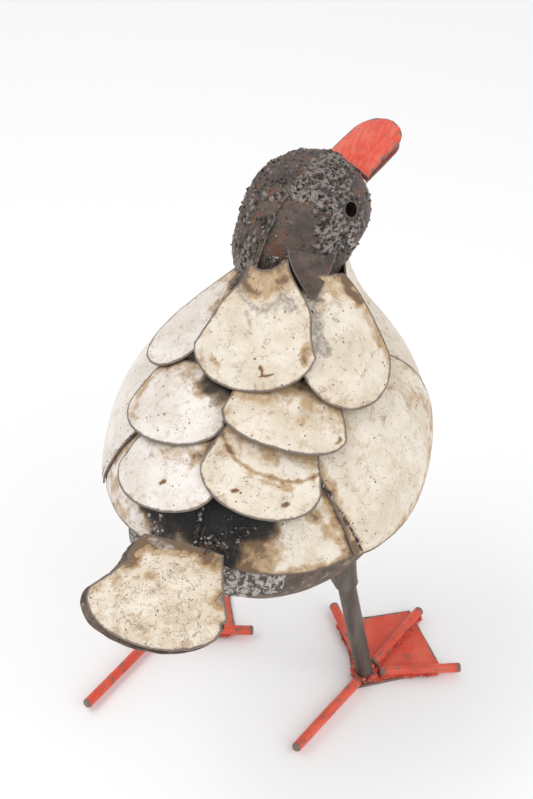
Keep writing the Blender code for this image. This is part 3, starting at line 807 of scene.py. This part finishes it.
def build_body():
    side = ((30, 50), (112, 38), (99, -2), (47, -2))
    rump = ((0.3, 26), (40, 26), (50, -2), (0.3, 4))
    strip = ((3, 5), (27, 3), (25, -7), (2.5, -9))
    breast = ((112, 60), (179.7, 53), (179.7, -8), (100, -8))
    flat = (0, 0, 0, 0)
    marks = {
        # the right side plate: a thin brown line, broader browner bands towards its front and lower edges,
        # and a band down its rear edge
        "side_plate_right": (([(0.46, 0.22), (0.62, 0.32), (0.80, 0.42), (0.90, 0.62)], 5, 0.42),
                             ([(0.75, 0.40), (0.9, 0.62), (0.8, 0.85)], 26, 0.45),
                             ([(0.45, 0.97), (0.8, 0.9), (0.95, 0.75)], 18, 0.5),
                             ([(0.0, 0.3), (0.0, 1.0)], 12, 0.9)),
        "rump_plate_right": (([(0.98, 0.0), (0.96, 1.0)], 15, 1.0), ([(0.1, 0.98), (0.9, 0.98)], 8, 0.6),
                             ([(0.30, 0.1), (0.42, 0.8)], 26, 0.75), ([(0.72, 0.3), (0.9, 0.8)], 9, 0.6)),
        "rump_plate_left": (([(1.0, 0.1), (1.0, 1.0)], 12, 0.8), ([(0.4, 0.2), (0.6, 0.9)], 20, 0.6)),
    }
    for label, sign in (("right", 1), ("left", -1)):
        # the left side takes the paler copy of the cream, which is painted light
        paint = CREAM if sign > 0 else CREAM_WITH_PAINTED_LIGHT
        sides = (
            ("side_plate", side, (0.16, 0.13, 0.05, 0), 1.6, (110, 120), paint),
            ("rump_plate", rump, (0, 0, 0.03, 0), -1, (60, 70), paint),
            ("rump_strip", strip, flat, -4, (16, 44), FLAKED),
            ("breast_plate", breast, flat, -3, (90, 80), paint),
        )
        for kind, corners, bows, lift, cells, finish in sides:
            name = kind + "_" + label
            corners = [(azimuth * sign, elevation) for azimuth, elevation in corners]
            grid, normals = panel_grid(BODY, corners, bows, lift, cells, len(name) + (3 if sign > 0 else 8))
            part = "strip" if kind == "rump_strip" else kind.split("_")[0] + "_" + label
            add_sheet("skin_" + name, grid, normals, finish, (name,), seed=len(name) + sign,
                      marks=marks.get(name, ()), dents=0.55, part=part)
        grid, normals = belly_grid(sign)
        add_sheet("skin_belly_" + label, grid, normals, PLATE, ("belly_plate_" + label,),
                  seed=5, dents=0.5)
    back = ((-40, 22), (-70, 66), (70, 66), (40, 22))
    grid, normals = panel_grid(BODY, back, (0, -0.08, 0, 0), -6, (60, 60), 4)
    add_sheet("skin_back", grid, normals, SOOTY_PLATE, ("back_plate",), seed=9, part="back")


def belly_arcs():
    def keel(u):
        under = -10 - 160 * u
        front = under < -90
        return look(np.where(front, 180.0, 0.0), np.where(front, -180 - under, under))

    def edge(u):
        return look(3 + 174 * u, 4 - 9 * u)

    return keel, edge


def shell_grid(form, arcs, sign, turn, lifts, cells, seed, start=0.0, fray=0.004):
    """Half of a form between the seam in its middle plane and the cut round its side."""
    seam, cut = arcs
    at_cut, at_start, at_end = lifts
    u, v = shares(*cells)
    _, down = frayed(u, v, fray, seed)
    down = down + np.asarray(start) * (1 - v) ** 6
    beside = unit(seam(np.clip(u, 0, 1)) + np.array((-SEAM_HALF_GAP, 0, 0)))
    direction = unit(slerp(beside, cut(u), down[..., None]))
    direction = direction * np.array((sign, 1, 1))
    direction = turned(direction, -turn)
    points = skin(form, direction)
    normals = outward(form, points)
    at_seam = at_end + (at_start - at_end) * (1 - u) ** 1.5
    lift = at_seam + (at_cut - at_seam) * v
    return points + normals * lift[..., None], normals


def belly_grid(sign):
    return shell_grid(BODY, belly_arcs(), sign, 0, BELLY_LIFTS, (48, 90), 3)


# root, tip, facing, (root width, full width), (round end, camber, sag, root notch, flare), paint
# the left feathers take the paler copy of the cream, which is painted light
FEATHERS = {
    "shoulder_left":
        ((23, -17, 450), (85, 42, 389), (0.5, 0.4, 0.75), (38, 54), (0.36, 5, 2, 0, 1), CREAM_WITH_PAINTED_LIGHT),
    "collar":
        ((1, -13, 481), (-11, 67, 404), (0, 0.5, 0.8), (36, 102), (0.32, 12, 4, 0.1, 1.5), CREAM),
    "shoulder_right":
        ((-43, -31, 461), (-93, 43, 388), (-0.6, 0.4, 0.7), (26, 84), (0.4, 8, 4, 0, 0.75), CREAM),
    "middle_left":
        ((38, 46, 400), (47, 114, 366), (0.3, 0.6, 0.7), (60, 98), (0.40, 9, 4, 0, 0.6), CREAM_WITH_PAINTED_LIGHT),
    "middle_right":
        ((-40, 44, 400), (-51, 109, 383), (-0.3, 0.6, 0.7), (60, 104), (0.42, 10, 4, 0, 0.5), CREAM),
    "lower_left":
        ((27, 82, 381), (38, 158, 335), (0.3, 0.6, 0.7), (46, 100), (0.36, 9, 4, 0, 0.6), CREAM_WITH_PAINTED_LIGHT),
    "lower_right":
        ((-38, 78, 387), (-42, 149, 345), (-0.3, 0.6, 0.7), (50, 100), (0.42, 10, 4, 0, 0.5), CREAM),
}


def spade_grid(root_at, tip_at, facing, widths, shape, cells, seed, fray=0.007, nicks=()):
    """A spade of sheet from its root to its tip. nicks: (side, share down, depth mm, reach mm)."""
    round_end, camber, sag, notch, flare = shape
    root_at, tip_at = np.array(root_at, float), np.array(tip_at, float)
    along = tip_at - root_at
    length = np.linalg.norm(along)
    along = along / length
    across = unit(np.cross(along, unit(facing)))
    up = np.cross(across, along)
    s, v = frayed(*shares(*cells), fray, seed)
    t = np.clip(2 * s - 1, -1.02, 1.02)
    half = (widths[0] + (widths[1] - widths[0]) * np.maximum(v, 0) ** flare) / 2
    angle = t * math.pi / 2
    reach = 1 - round_end + round_end * np.cos(angle)
    x = half * (t * (1 - v) + np.sin(angle) * v)
    y = length * (v * reach + (1 - v) * notch * (1 - t * t))
    for side, down, depth, size in nicks:
        near = np.exp(-((y - down * length) / size) ** 2)
        x = x - side * depth * near * np.clip(side * t, 0, 1) ** 6
    z = camber * (1 - (x / (widths[1] / 2)) ** 2) + 4 * sag * (y / length) * (1 - y / length)
    grid = root_at + across * x[..., None] + along * y[..., None] + up * z[..., None]
    return grid, up


def build_feathers():
    # marks run (across, down), and 1 across is the duck's left
    marks = {
        "collar": (([(0.08, 0.16), (0.35, 0.22), (0.9, 0.20)], 6, 0.4),
                   ([(0.42, 0.80), (0.40, 0.87)], 2.4, 1.9), ([(0.42, 0.87), (0.34, 0.88)], 1.8, 1.7),
                   ([(0.78, 0.86), (0.70, 0.88)], 6, 0.6), ([(0.05, 0.84), (0.12, 0.90)], 7, 0.7)),
        "shoulder_right": (([(0.2, 0.05), (0.12, 0.3)], 10, 0.9), ([(0.02, 0.45), (0.06, 0.95)], 10, 0.5)),
        "shoulder_left": (([(0.1, 0.05), (0.2, 0.3)], 16, 0.7),),
        "middle_left": (([(0.1, 0.05), (0.3, 0.3)], 18, 0.6), ([(0.95, 0.5), (0.8, 0.9)], 9, 0.5)),
        "middle_right": (([(0.05, 0.55), (0.3, 0.62), (0.9, 0.5)], 12, 0.3),
                         ([(0.1, 0.85), (0.16, 0.9)], 3, 1.2)),
        "lower_left": (([(0.05, 0.1), (0.2, 0.5)], 16, 0.6), ([(0.45, 0.72), (0.48, 0.75)], 2.4, 1.6)),
        "lower_right": (([(0.03, 0.62), (0.3, 0.60), (0.7, 0.55), (0.97, 0.42)], 3.4, 0.9),
                        ([(0.3, 0.66), (0.62, 0.61)], 5, 0.6), ([(0.32, 0.82), (0.34, 0.84)], 2.6, 1.9),
                        ([(0.62, 0.80), (0.64, 0.82)], 2.4, 1.8)),
    }
    smears = {
        "collar": (([(0.15, 0.30), (0.35, 0.36), (0.55, 0.32), (0.9, 0.28)], 8, 0.9),
                   ([(0.12, 0.30), (0.10, 0.42)], 10, 1.0), ([(0.62, 0.36), (0.52, 0.50)], 4, 0.7)),
        "shoulder_right": (([(0.97, 0.0), (0.93, 0.25), (0.80, 0.52), (0.74, 0.62)], 10, 1.1),
                           ([(0.62, 0.34), (0.56, 0.36)], 3, 1.0)),
        "shoulder_left": (([(0.1, 0.05), (0.15, 0.4)], 14, 1.1), ([(0.4, 0.05), (0.35, 0.2)], 9, 1.0)),
        "middle_left": (([(0.02, 0.1), (0.14, 0.5)], 11, 1.0),),
    }
    # how brown each root is and how far down: burnt by welding, and painted shade under the plate above
    root_scorch_and_shade = {"collar": (0.85, 0.42), "shoulder_left": (0.4, 0.45), "shoulder_right": (0.55, 0.4),
              "middle_left": (0.4, 0.7), "middle_right": (0.9, 0.62), "lower_left": (0.6, 0.75),
              "lower_right": (0.95, 0.66)}
    # side, share down, depth, reach; a negative depth widens the plate there
    nicks = {"collar": ((-1, 0.34, -12, 24), (1, 0.15, 8, 15)), "shoulder_right": ((1, 0.06, -7, 20),),
             "middle_right": ((-1, 0.72, 3, 3),)}
    for i, (key, (root_at, tip_at, facing, widths, shape, paint)) in enumerate(FEATHERS.items()):
        grid, up = spade_grid(root_at, tip_at, facing, widths, shape, (80, 76), 20 + i,
                              nicks=nicks.get(key, ()))
        add_sheet("plate_feather_" + key, grid, up, paint, ("feather_" + key,), seed=30 + i, dents=0.7,
                  marks=marks.get(key, ()), smears=smears.get(key, ()), part=key, root_scorch_and_shade=root_scorch_and_shade[key])


def build_tail():
    root_at, tip_at = np.array((3, 177, 325.0)), np.array((6, 266, 296.0))
    facing = unit((0.04, 0.3, 0.95))
    shape = (0.42, 8, 5, 0, 1.15)
    nicks = ((1, 0.40, 9, 18), (1, 0.30, 4, 3), (-1, 0.62, 6, 4), (-1, 0.70, 4, 3))
    marks = (([(0.2, 0.02), (0.8, 0.02)], 14, 0.9), ([(0.97, 0.30), (0.85, 0.42)], 14, 0.9),
             ([(0.03, 0.6), (0.08, 0.64)], 10, 0.9), ([(0.25, 0.70), (0.5, 0.78), (0.75, 0.68)], 24, 0.22),
             ([(0.6, 0.45), (0.8, 0.6)], 20, 0.30))
    smears = (([(0.85, 0.04), (0.6, 0.10)], 7, 1.0), ([(0.02, 0.62), (0.05, 0.66)], 4, 1.2))
    grid, up = spade_grid(root_at, tip_at, facing, (70, 121), shape, (90, 90), 41, 0.006, nicks)
    # its root is browned by heat and by painted shade
    add_sheet("plate_tail", grid, up, TAIL, ("tail_plate",), seed=41, dents=0.6, marks=marks,
              smears=smears, part="tail", root_scorch_and_shade=(0.6, 0.3))
    below = facing * -(SHEET + 3) + np.array(UNDER_TAIL_OFFSET)
    grid, up = spade_grid(root_at + below, tip_at + below, facing, (70, 122), shape, (60, 60), 47, 0.012,
                          nicks[:1])
    add_sheet("plate_tail_under", grid, up, RIMMED, ("tail_under_plate",), thickness=2.6,
              seed=42, dents=1.1)


def skull_arcs(label):
    nape, throat, dip = NECK_CUT[label]

    def seam(u):
        over = nape + (180 - throat - nape) * u
        front = over > 90
        return look(np.where(front, 180.0, 0.0), np.where(front, 180 - over, over))

    def neck(u):
        return look(14 + 152 * u, nape + (throat - nape) * u - dip * np.sin(np.pi * u))

    return seam, neck


def head_angles(points):
    """Azimuth and elevation round the head, azimuth from the nape and the same on both sides."""
    q = unit(turned(points - np.array(HEAD["core"], float), HEAD_TURN))
    return np.degrees(np.arctan2(np.abs(q[..., 0]), q[..., 1])), np.degrees(np.arcsin(q[..., 2]))


def spatter_share(points, sign):
    """How thickly the head is spattered, from 0 to 1."""
    if sign < 0:
        return np.clip(0.85 + 0.3 * rough(points, 16, 3), 0, 1)
    azimuth, elevation = head_angles(points)
    share = smooth(azimuth + 14 * rough(points, 18, 6), 34, 62)
    share = np.maximum(share, smooth(elevation + 8 * rough(points, 14, 7), 44, 62))
    share = share * (1 - 0.85 * smooth(azimuth, 98, 112) * smooth(elevation, 52, 40))
    return share * (0.25 + 0.75 * smooth(elevation + 10 * rough(points, 20, 8), -8, 12))


def crust_heights(grid, share, count, seed):
    """Burnt spatter as a height on a grid: beads and small craters with raised rims, crowded by share."""
    rng = np.random.default_rng(seed)
    flat = grid.reshape(-1, 3)
    weight = share.reshape(-1) ** 1.2 + 0.02
    centres = flat[rng.choice(len(flat), count, p=weight / weight.sum())]
    height = np.zeros(len(flat))
    for centre, radius, open_top in zip(centres, 1.3 + 2.2 * rng.random(count) ** 2, rng.random(count)):
        distance = np.linalg.norm(flat - centre, axis=1) / radius
        rim = np.exp(-((distance - 1) / 0.42) ** 2) * 0.8
        pit = np.exp(-(distance / 0.75) ** 2)
        height = height + (rim - pit * 1.1 if open_top < 0.45 else pit * 0.9)
    return np.clip(height, -1.8, 2.2).reshape(share.shape)


def build_head():
    for label, sign in (("right", 1), ("left", -1)):
        cells = (112, 176)
        u = np.linspace(0, 1, cells[1] + 1)[None]
        ragged = np.maximum(0.075 + 0.06 * wobble(u, 0.16, 12) + 0.04 * wobble(u, 0.04, 13), 0.04)
        start = -ragged if sign < 0 else 0.0
        grid, normals = shell_grid(HEAD, skull_arcs(label), sign, HEAD_TURN, (0, 0, 0), cells, 17, start,
                                   0.008)
        v = np.linspace(0, 1, cells[0] + 1)[:, None]
        share = spatter_share(grid, sign)
        crust = 1.05 * share ** 0.7 * crust_heights(grid, share, 1500, 21) + 0.3 * rough(grid, 4, 22) - 0.5
        direction = turned(look(*EYE_AT) * np.array((sign, 1, 1)), -HEAD_TURN)
        eye = skin(HEAD, direction[None])[0]
        axis = outward(HEAD, eye[None])[0]
        from_eye = np.linalg.norm(grid - eye, axis=-1)
        crust = crust * smooth(from_eye, EYE_RADIUS, EYE_RADIUS + 5)
        if sign < 0:
            grid = grid + normals * (1.7 * smooth(v, 0.12, 0.05))[..., None]
        flat, _ = add_sheet("shell_skull_" + label, grid, normals, CRUST, ("skull_" + label,),
                            dents=0.5, seed=23, hole=(eye, axis, EYE_RADIUS - 0.6), crust=crust)
        add_eye_rim(label, eye, axis)
        scatter_spatter(label, flat, grid_normals(flat, normals), sign, eye)
    build_head_lumps()
    build_bill()


def on_head(azimuth, elevation, lift):
    """A point over the head's skin and the direction out of it; a negative azimuth is on its left."""
    direction = turned(look(np.array(float(azimuth)), np.array(float(elevation))), -HEAD_TURN)
    point = skin(HEAD, direction[None])
    normal = outward(HEAD, point)
    return (point + normal * lift)[0], normal[0]


def build_head_lumps():
    """Two burnt-through holes with raised rims by the seam, each filled by a near black lump of painted
    shade, and a splash of weld on the cheek.
    """
    for i, (azimuth, elevation, radius) in enumerate(((-15, 66, 3.6), (-6, 29, 3.6))):
        place, normal = on_head(azimuth, elevation, 2.6)
        add_lumps("burnt_rim_%d" % i, [place], [normal], [radius], BEADS, 66 + i, 0.9,
                  ring_shape(0.62, 18, 8))
        # a near black lump of painted shade inside each rim, for the hole
        add_lumps("hole_shade_lump_%d" % i, [place - normal * 0.5], [normal], [radius * 0.5], HOLE_SHADE,
                  68 + i, 0.3)
    rng = np.random.default_rng(70)
    cheek = [on_head(82 + 5 * rng.normal(), 4 + 6 * rng.normal(), 0.8) for _ in range(34)]
    add_lumps("cheek_splash", [place for place, _ in cheek], [normal for _, normal in cheek],
              rng.uniform(0.7, 2.6, len(cheek)), SLAG, 71, 0.6)


def add_eye_rim(label, eye, axis):
    side = unit(np.cross(axis, (0, 0, 1)))
    other = np.cross(axis, side)
    turns = np.linspace(0, 2 * math.pi, 49)[:-1]
    centres = eye + (side * np.cos(turns)[:, None] + other * np.sin(turns)[:, None]) * (EYE_RADIUS - 0.3)
    add_lumps("eye_rim_" + label, centres - axis * 0.3, np.tile(axis, (len(centres), 1)), np.full(48, 0.95),
              BARE, 3, 1.0, nodes=("eye_ring_" + label,))


def scatter_spatter(label, grid, normals, sign, eye):
    rng = np.random.default_rng(61 if sign > 0 else 62)
    share = spatter_share(grid, sign)
    flat, facing = grid.reshape(-1, 3), normals.reshape(-1, 3)
    spread = np.linalg.norm(np.cross(np.gradient(grid, axis=0), np.gradient(grid, axis=1)), axis=-1)
    clear = np.linalg.norm(flat - eye, axis=1) > EYE_RADIUS + 1
    weight = share.reshape(-1) ** 1.3 * spread.reshape(-1) * clear + 0.03 * spread.reshape(-1) * clear
    count = 750
    chosen = rng.choice(len(flat), count, p=weight / weight.sum())
    radii = 0.5 + 1.1 * rng.random(count) ** 2.4
    shake = rng.normal(0, 0.4, (count, 3))
    places = flat[chosen] + facing[chosen] * (radii * 0.1 + SHEET / 2)[:, None] + shake
    add_lumps("spatter_" + label, places,
              facing[chosen] + rng.normal(0, 0.25, (count, 3)), radii, BEADS, 63, 0.7)
    chosen = rng.choice(len(flat), 60, p=weight / weight.sum())
    radii = 1.3 + 1.2 * rng.random(60)
    add_lumps("craters_" + label, flat[chosen] + facing[chosen] * (SHEET / 2 + 0.1), facing[chosen],
              radii, BEADS, 64, 0.9, ring_shape(0.66))


def build_bill():
    root_at = np.array((-24.5, -134, 499.0))
    turn = math.radians(HEAD_TURN)
    forward = unit((-math.sin(turn), -math.cos(turn), 0.1))
    grid, up = spade_grid(root_at, root_at + forward * 73, (0, 0, 1), (47, 46), (0.34, 5, 2, 0.03, 1),
                          (64, 48), 51, 0.012, ((1, 0.35, 1.5, 2),))
    add_sheet("bill_top", grid, up, BILL, ("bill_upper",), seed=52, dents=0.3)
    low = np.array((0, 0, -5.5))
    grid, up = spade_grid(root_at + low, root_at + low + forward * 71, (0, 0, 1), (45, 44),
                          (0.34, -3, 0, 0.16, 1), (50, 40), 53, 0.01)
    add_sheet("bill_bottom", grid, up, BILL, ("bill_lower",), seed=54, dents=0.3)


def build_collar():
    corners = ((-20, -16), (-68, -14), (-64, -46), (-24, -46))
    grid, normals = panel_grid(HEAD, corners, (0, 0, 0, 0), -2.5, (30, 44), 14, 0.015)
    add_sheet("plate_collar_left", grid, normals, BARE_PLATE, ("collar_tab_left",), seed=15)
    grid, up = spade_grid((-38, -12, 455), (-42, 16, 416), (-0.2, 0.6, 0.75), (20, 24), (0.3, 2, 0, 0, 1),
                          (26, 22), 16, 0.02)
    add_sheet("plate_collar_right", grid, up, BARE_PLATE, ("collar_tab_right",), seed=16,
              part="collar_tab")
    grid = nape_grid()
    add_sheet("plate_nape", grid, np.array((-0.2, 0.6, 0.75)), CRUST, ("nape_tab",), seed=17,
              dents=0.3, crust=0.35 * rough(grid, 5, 19) + 0.3)
    band = ((20, -14), (160, -14), (150, -58), (26, -52))
    for label, sign in (("right", 1), ("left", -1)):
        corners = [(azimuth * sign, height) for azimuth, height in band]
        grid, normals = panel_grid(HEAD, corners, (0, 0, 0, 0), -3.5, (24, 60), 24)
        add_sheet("plate_neck_" + label, grid, normals, PLATE, seed=25)


def nape_grid():
    """A tongue of the head's sheet, bent off the back of the skull down to a point between two feathers."""
    v, u = np.meshgrid(np.linspace(0, 1, 44), np.linspace(0, 1, 36), indexing="ij")
    starts, ends = unit(np.array(((-4, 46, 16), (-62, 44, 12)), float))
    lower = np.array((0, 0, -0.34))
    along = slerp(starts, ends, u[0][:, None])
    high = skin(HEAD, along)
    high = high - outward(HEAD, high) * 2.5
    low = skin(HEAD, unit(along + lower))
    low = low + outward(HEAD, low) * 0.5
    tip = np.array((-43, 2, 463.0)) + (u[0][:, None] - 0.5) * np.array((-6, 0, 0))
    share = v[..., None]
    grid = high * (1 - share) ** 2 + 2 * low * share * (1 - share) + tip * share ** 2
    return grid


def build_legs():
    for label, side, base, hip, heading in LEGS:
        base, hip = np.array(base, float), np.array(hip, float)
        axis = unit(hip - base)
        bottom = base + axis * ((WEB_PLATE + 2) / axis[2])
        top = base + axis * ((WEB_PLATE + 5) / axis[2])
        while field(top[None], BODY)[0] > WRAP_CLEARANCE:
            top = top + axis * 0.5
        belly, _ = belly_grid(side)
        end = bottom + axis * (reach_along(belly, bottom, axis) + 3)
        path = bottom + (end - bottom) * np.linspace(0, 1, 80)[:, None]
        add_tube("pipe_leg_" + label, path, np.full(80, PIPE_RADIUS), BARE,
                 ("leg_pipe_" + label,), 40, 0.12, 71)
        beside = unit(np.cross(axis, (0, 1, 0)))
        turns = np.linspace(0, 2 * math.pi, 30)[:, None]
        rim = bottom + (beside * np.cos(turns) + np.cross(axis, beside) * np.sin(turns)) * (PIPE_RADIUS + 1)
        seam = np.array([start + axis * (reach_along(belly, start, axis) - 1) for start in rim])
        add_weld("weld_hip_" + label, seam, -axis, 3.2, BARE, 96)
        add_wrap(label, top, axis, base)
        add_foot(label, base, heading, side, axis)


def reach_along(grid, start, axis):
    """How far along an axis from start a grid of points is passed."""
    offset = grid.reshape(-1, 3) - start
    along = offset @ axis
    return along[np.argmin(np.linalg.norm(offset - along[:, None] * axis, axis=1))]


def add_wrap(label, top, axis, base):
    """The flared sheet at the top of a leg, wrapped round with one edge left standing."""
    u, v = frayed(*shares(44, 90), 0.01, 73)
    turns = 2 * math.pi * (u * 1.06)
    inwards = np.array((-math.copysign(WRAP_LEAN, base[0]), 0, 0))
    side = unit(np.cross(axis, (0, 1, 0)))
    other = np.cross(axis, side)
    ends = top - axis * WRAP_LENGTH, top - axis * WRAP_FLARED + inwards
    radius = PIPE_RADIUS + 1.2 + (WRAP_RADIUS - PIPE_RADIUS) * np.clip(1 - v, 0, 1) ** 1.3 + 1.2 * u
    centre = ends[0] * v[..., None] + ends[1] * (1 - v)[..., None]
    ring = side * np.cos(turns)[..., None] + other * np.sin(turns)[..., None]
    add_sheet("sheet_thigh_" + label, centre + ring * radius[..., None], ring, BARE,
              ("thigh_wrap_" + label,), seed=74, dents=0.5, thickness=1.2)


def add_foot(label, base, heading, side, axis):
    corners = np.array([foot_point(base, heading, side, *corner, WEB_PLATE / 2) for corner in WEB_CORNERS])
    u, v = frayed(*shares(60, 60), 0.004, 81)
    u, v = u[..., None], v[..., None]
    a, b, c, d = corners
    grid = (a * (1 - u) + b * u) * (1 - v) + (d * (1 - u) + c * u) * v
    add_sheet("plate_web_" + label, grid, np.array((0, 0, 1.0)), RED, ("web_plate_" + label,),
              thickness=WEB_PLATE, dents=0.12, seed=82)
    up = np.array((0, 0, 1.0))
    for i, (toe, angle, start, length) in enumerate(TOES):
        first = np.array(foot_point(base, heading, side, start, angle, TOE_HEIGHT))
        last = np.array(foot_point(base, heading, side, length, angle, TOE_HEIGHT))
        path = first + (last - first) * np.linspace(0, 1, 60)[:, None]
        ends = np.minimum(np.linspace(0, length - start, 60), np.linspace(length - start, 0, 60))
        radii = TOE_RADIUS - 1.2 * smooth(ends, 1.4, 0)
        add_tube("bar_toe_%s_%s" % (toe, label), path, radii, RED_BARS, ("toe_%s_%s" % (toe, label),),
                 24, 0.22, 83 + i)
        if toe == "back":
            continue
        ahead = unit(last - first)
        for hand in (-1, 1):
            beside = np.cross(up, ahead) * hand * (TOE_RADIUS - 0.6)
            low = np.array((0, 0, WEB_PLATE + 1.2 - TOE_HEIGHT))
            share = 0.95 if toe == "middle" else 0.7
            add_weld("weld_toe_%s_%s_%s" % (toe, label, "ab"[hand > 0]),
                     [first + beside + low, first + (last - first) * share + beside + low], up, 1.9,
                     RED_WELD, 85 + i + hand)
    turns = np.linspace(0, 2 * math.pi, 26)
    ring = np.stack((np.cos(turns) * 10.2, np.sin(turns) * 10.2, np.full(26, 0.0)), -1)
    foot = base + axis * ((WEB_PLATE + 4) / axis[2])
    add_weld("weld_ankle_" + label, foot + ring, up, 3.6, RED_WELD, 91,
             ("ankle_weld_" + label,))


def on_body(azimuth, elevation, lift):
    """A point over the body's skin and the direction out of it."""
    point = skin(BODY, look(np.array(float(azimuth)), np.array(float(elevation)))[None])
    normal = outward(BODY, point)
    return (point + normal * lift)[0], normal[0]


def build_welds():
    for label, sign, radius in (("right", 1, 1.3), ("left", -1, 0.8)):
        seam = [on_body(sign * (40 + 10 * t), 26 - 28 * t, 1.8)[0] for t in np.linspace(0.1, 1, 14)]
        add_weld("weld_rump_" + label, seam, (-0.6 * sign, 0.7, 0.3), radius, SLAG, 101 + sign,
                 flat=0.5)
    seam = [on_body(0, 24 - 22 * t, 0.5)[0] for t in np.linspace(0, 1, 10)]
    add_weld("weld_rump_middle", seam, (0, 0.9, 0.4), 2.2, SLAG, 103)
    # lumps: place, reach, count, facing
    places = (
        ("collar_left", (20, 4, 458), 9, 40, (0.2, 0.6, 0.7)),
        ("collar_left_low", (24, 12, 447), 7, 26, (0.2, 0.6, 0.7)),
        ("collar_right", (-43, 2, 448), 8, 26, (-0.3, 0.6, 0.7)),
        ("collar_edge", (-36, 14, 446), 5, 16, (-0.2, 0.6, 0.7)),
        ("nape", (-6, -8, 480), 10, 34, (0, 0.7, 0.7)),
        ("middle_roots", (4, 64, 400), 9, 34, (0, 0.6, 0.7)),
        ("shoulder_gap", (62, 42, 393), 11, 18, (0.4, 0.6, 0.6)),
        ("tail_left", (32, 168, 330), 9, 26, (0.2, 0.7, 0.6)),
        ("tail_right", (-20, 170, 333), 11, 34, (-0.1, 0.7, 0.6)),
        ("rump", (-34, 158, 334), 13, 26, (-0.1, 0.7, 0.6)),
        ("shoulder_rim", (-70, -40, 430), 7, 20, (-0.6, 0.4, 0.6)),
    )
    for i, (key, place, reach, count, facing) in enumerate(places):
        rng = np.random.default_rng(120 + i)
        facing = unit(facing)
        shake = rng.normal(0, reach / 2, (count, 3))
        shake = shake - (shake @ facing)[:, None] * facing * 0.75
        add_lumps("weld_" + key, np.array(place) + shake, np.tile(facing, (count, 1)),
                  rng.uniform(0.6, 2.0, count), SLAG, 130 + i, 0.7)
    # stubs of welding wire: start, heading, length, curl in turns
    wires = (
        ((-22, 172, 334), (-0.3, 0.6, 0.7), 26, 0.9), ((-26, 168, 336), (-0.6, 0.5, 0.6), 22, 0.6),
        ((-12, 172, 336), (0.2, 0.5, 0.8), 15, 0.4), ((-34, 166, 332), (-0.5, 0.7, 0.2), 18, 0.8),
        ((-18, 178, 332), (-0.1, 0.3, 0.9), 20, 1.1), ((8, 170, 336), (0.1, 0.6, 0.8), 12, 0.3),
        ((-40, 158, 336), (-0.4, 0.6, 0.5), 13, 0.5), ((-30, 176, 322), (-0.4, 0.8, 0.3), 15, 0.7),
        ((-42, 4, 452), (-0.2, 0.6, 0.8), 9, 0.6), ((18, 6, 462), (0.4, 0.5, 0.8), 8, 0.4),
        ((4, 66, 402), (0.2, 0.7, 0.7), 9, 0.5), ((60, 44, 394), (0.2, 0.8, 0.4), 8, 0.4),
    )
    for i, (start, heading, length, curl) in enumerate(wires):
        add_wire("wire_%02d" % i, start, heading, length, curl, 150 + i)


def add_wire(name, start, heading, length, curl, seed):
    """A stub of welding wire that leaves along heading and curls round to one side."""
    t = np.linspace(0, 1, 26)
    ahead = unit(heading)
    side = unit(np.cross(ahead, unit(np.random.default_rng(seed).normal(size=3))))
    turn = 2 * math.pi * curl * t ** 1.3
    steps = ahead * np.cos(turn)[:, None] + side * np.sin(turn)[:, None] + np.cross(ahead, side) * 0.15
    path = np.array(start) + np.cumsum(steps, axis=0) * length / len(t)
    add_tube(name, path, 0.75 - 0.25 * t, SLAG, sides=8, lumpy=0.12, seed=seed)


def build_stage():
    mesh = bpy.data.meshes.new("floor")
    corners = [(x, y, -0.0003) for x, y in ((-6, -6), (6, -6), (6, 6), (-6, 6))]
    mesh.from_pydata(corners, [], [(0, 1, 2, 3)])
    f = Finish("floor_white")
    f.done(f.blend(f.noise(900, 2), (0.97, 0.97, 0.97), (0.985, 0.985, 0.985)), 0.9, 0.5, 0.0, 0.1)
    mesh.materials.append(f.material)
    floor = bpy.data.objects.new("floor", mesh)
    bpy.context.scene.collection.objects.link(floor)
    world = bpy.data.worlds.new("studio")
    bpy.context.scene.world = world
    world.use_nodes = True
    world.node_tree.nodes["Background"].inputs["Color"].default_value = (1, 1, 1, 1)
    world.node_tree.nodes["Background"].inputs["Strength"].default_value = 0.80
    target = Vector(SHIFT) * MM + Vector((0.0136, -0.0431, 0.30))
    add_light("key", target + Vector((0.9, 0.5, 1.6)), target, 11, 1.3)
    add_light("fill", target + Vector((-1.5, 0.7, 1.1)), target, 12, 1.8)
    add_camera(target)


def add_light(name, place, target, power, size):
    light = bpy.data.lights.new(name, "AREA")
    light.energy = power
    light.size = size
    lamp = bpy.data.objects.new(name, light)
    lamp.location = place
    lamp.rotation_euler = (place - target).to_track_quat("Z", "Y").to_euler()
    bpy.context.scene.collection.objects.link(lamp)


def add_camera(target):
    camera = bpy.data.cameras.new("camera")
    camera.lens = 80
    camera.sensor_width = 36
    turn, lift = math.radians(20), math.radians(41)
    back = Vector((-math.sin(turn) * math.cos(lift), math.cos(turn) * math.cos(lift), math.sin(lift)))
    viewer = bpy.data.objects.new("camera", camera)
    viewer.location = target + back * 1.6
    viewer.rotation_euler = back.to_track_quat("Z", "Y").to_euler()
    bpy.context.scene.collection.objects.link(viewer)
    bpy.context.scene.camera = viewer


build_body()
build_feathers()
build_tail()
build_head()
build_collar()
build_legs()
build_welds()
build_stage()
bpy.context.scene.view_settings.view_transform = "Standard"
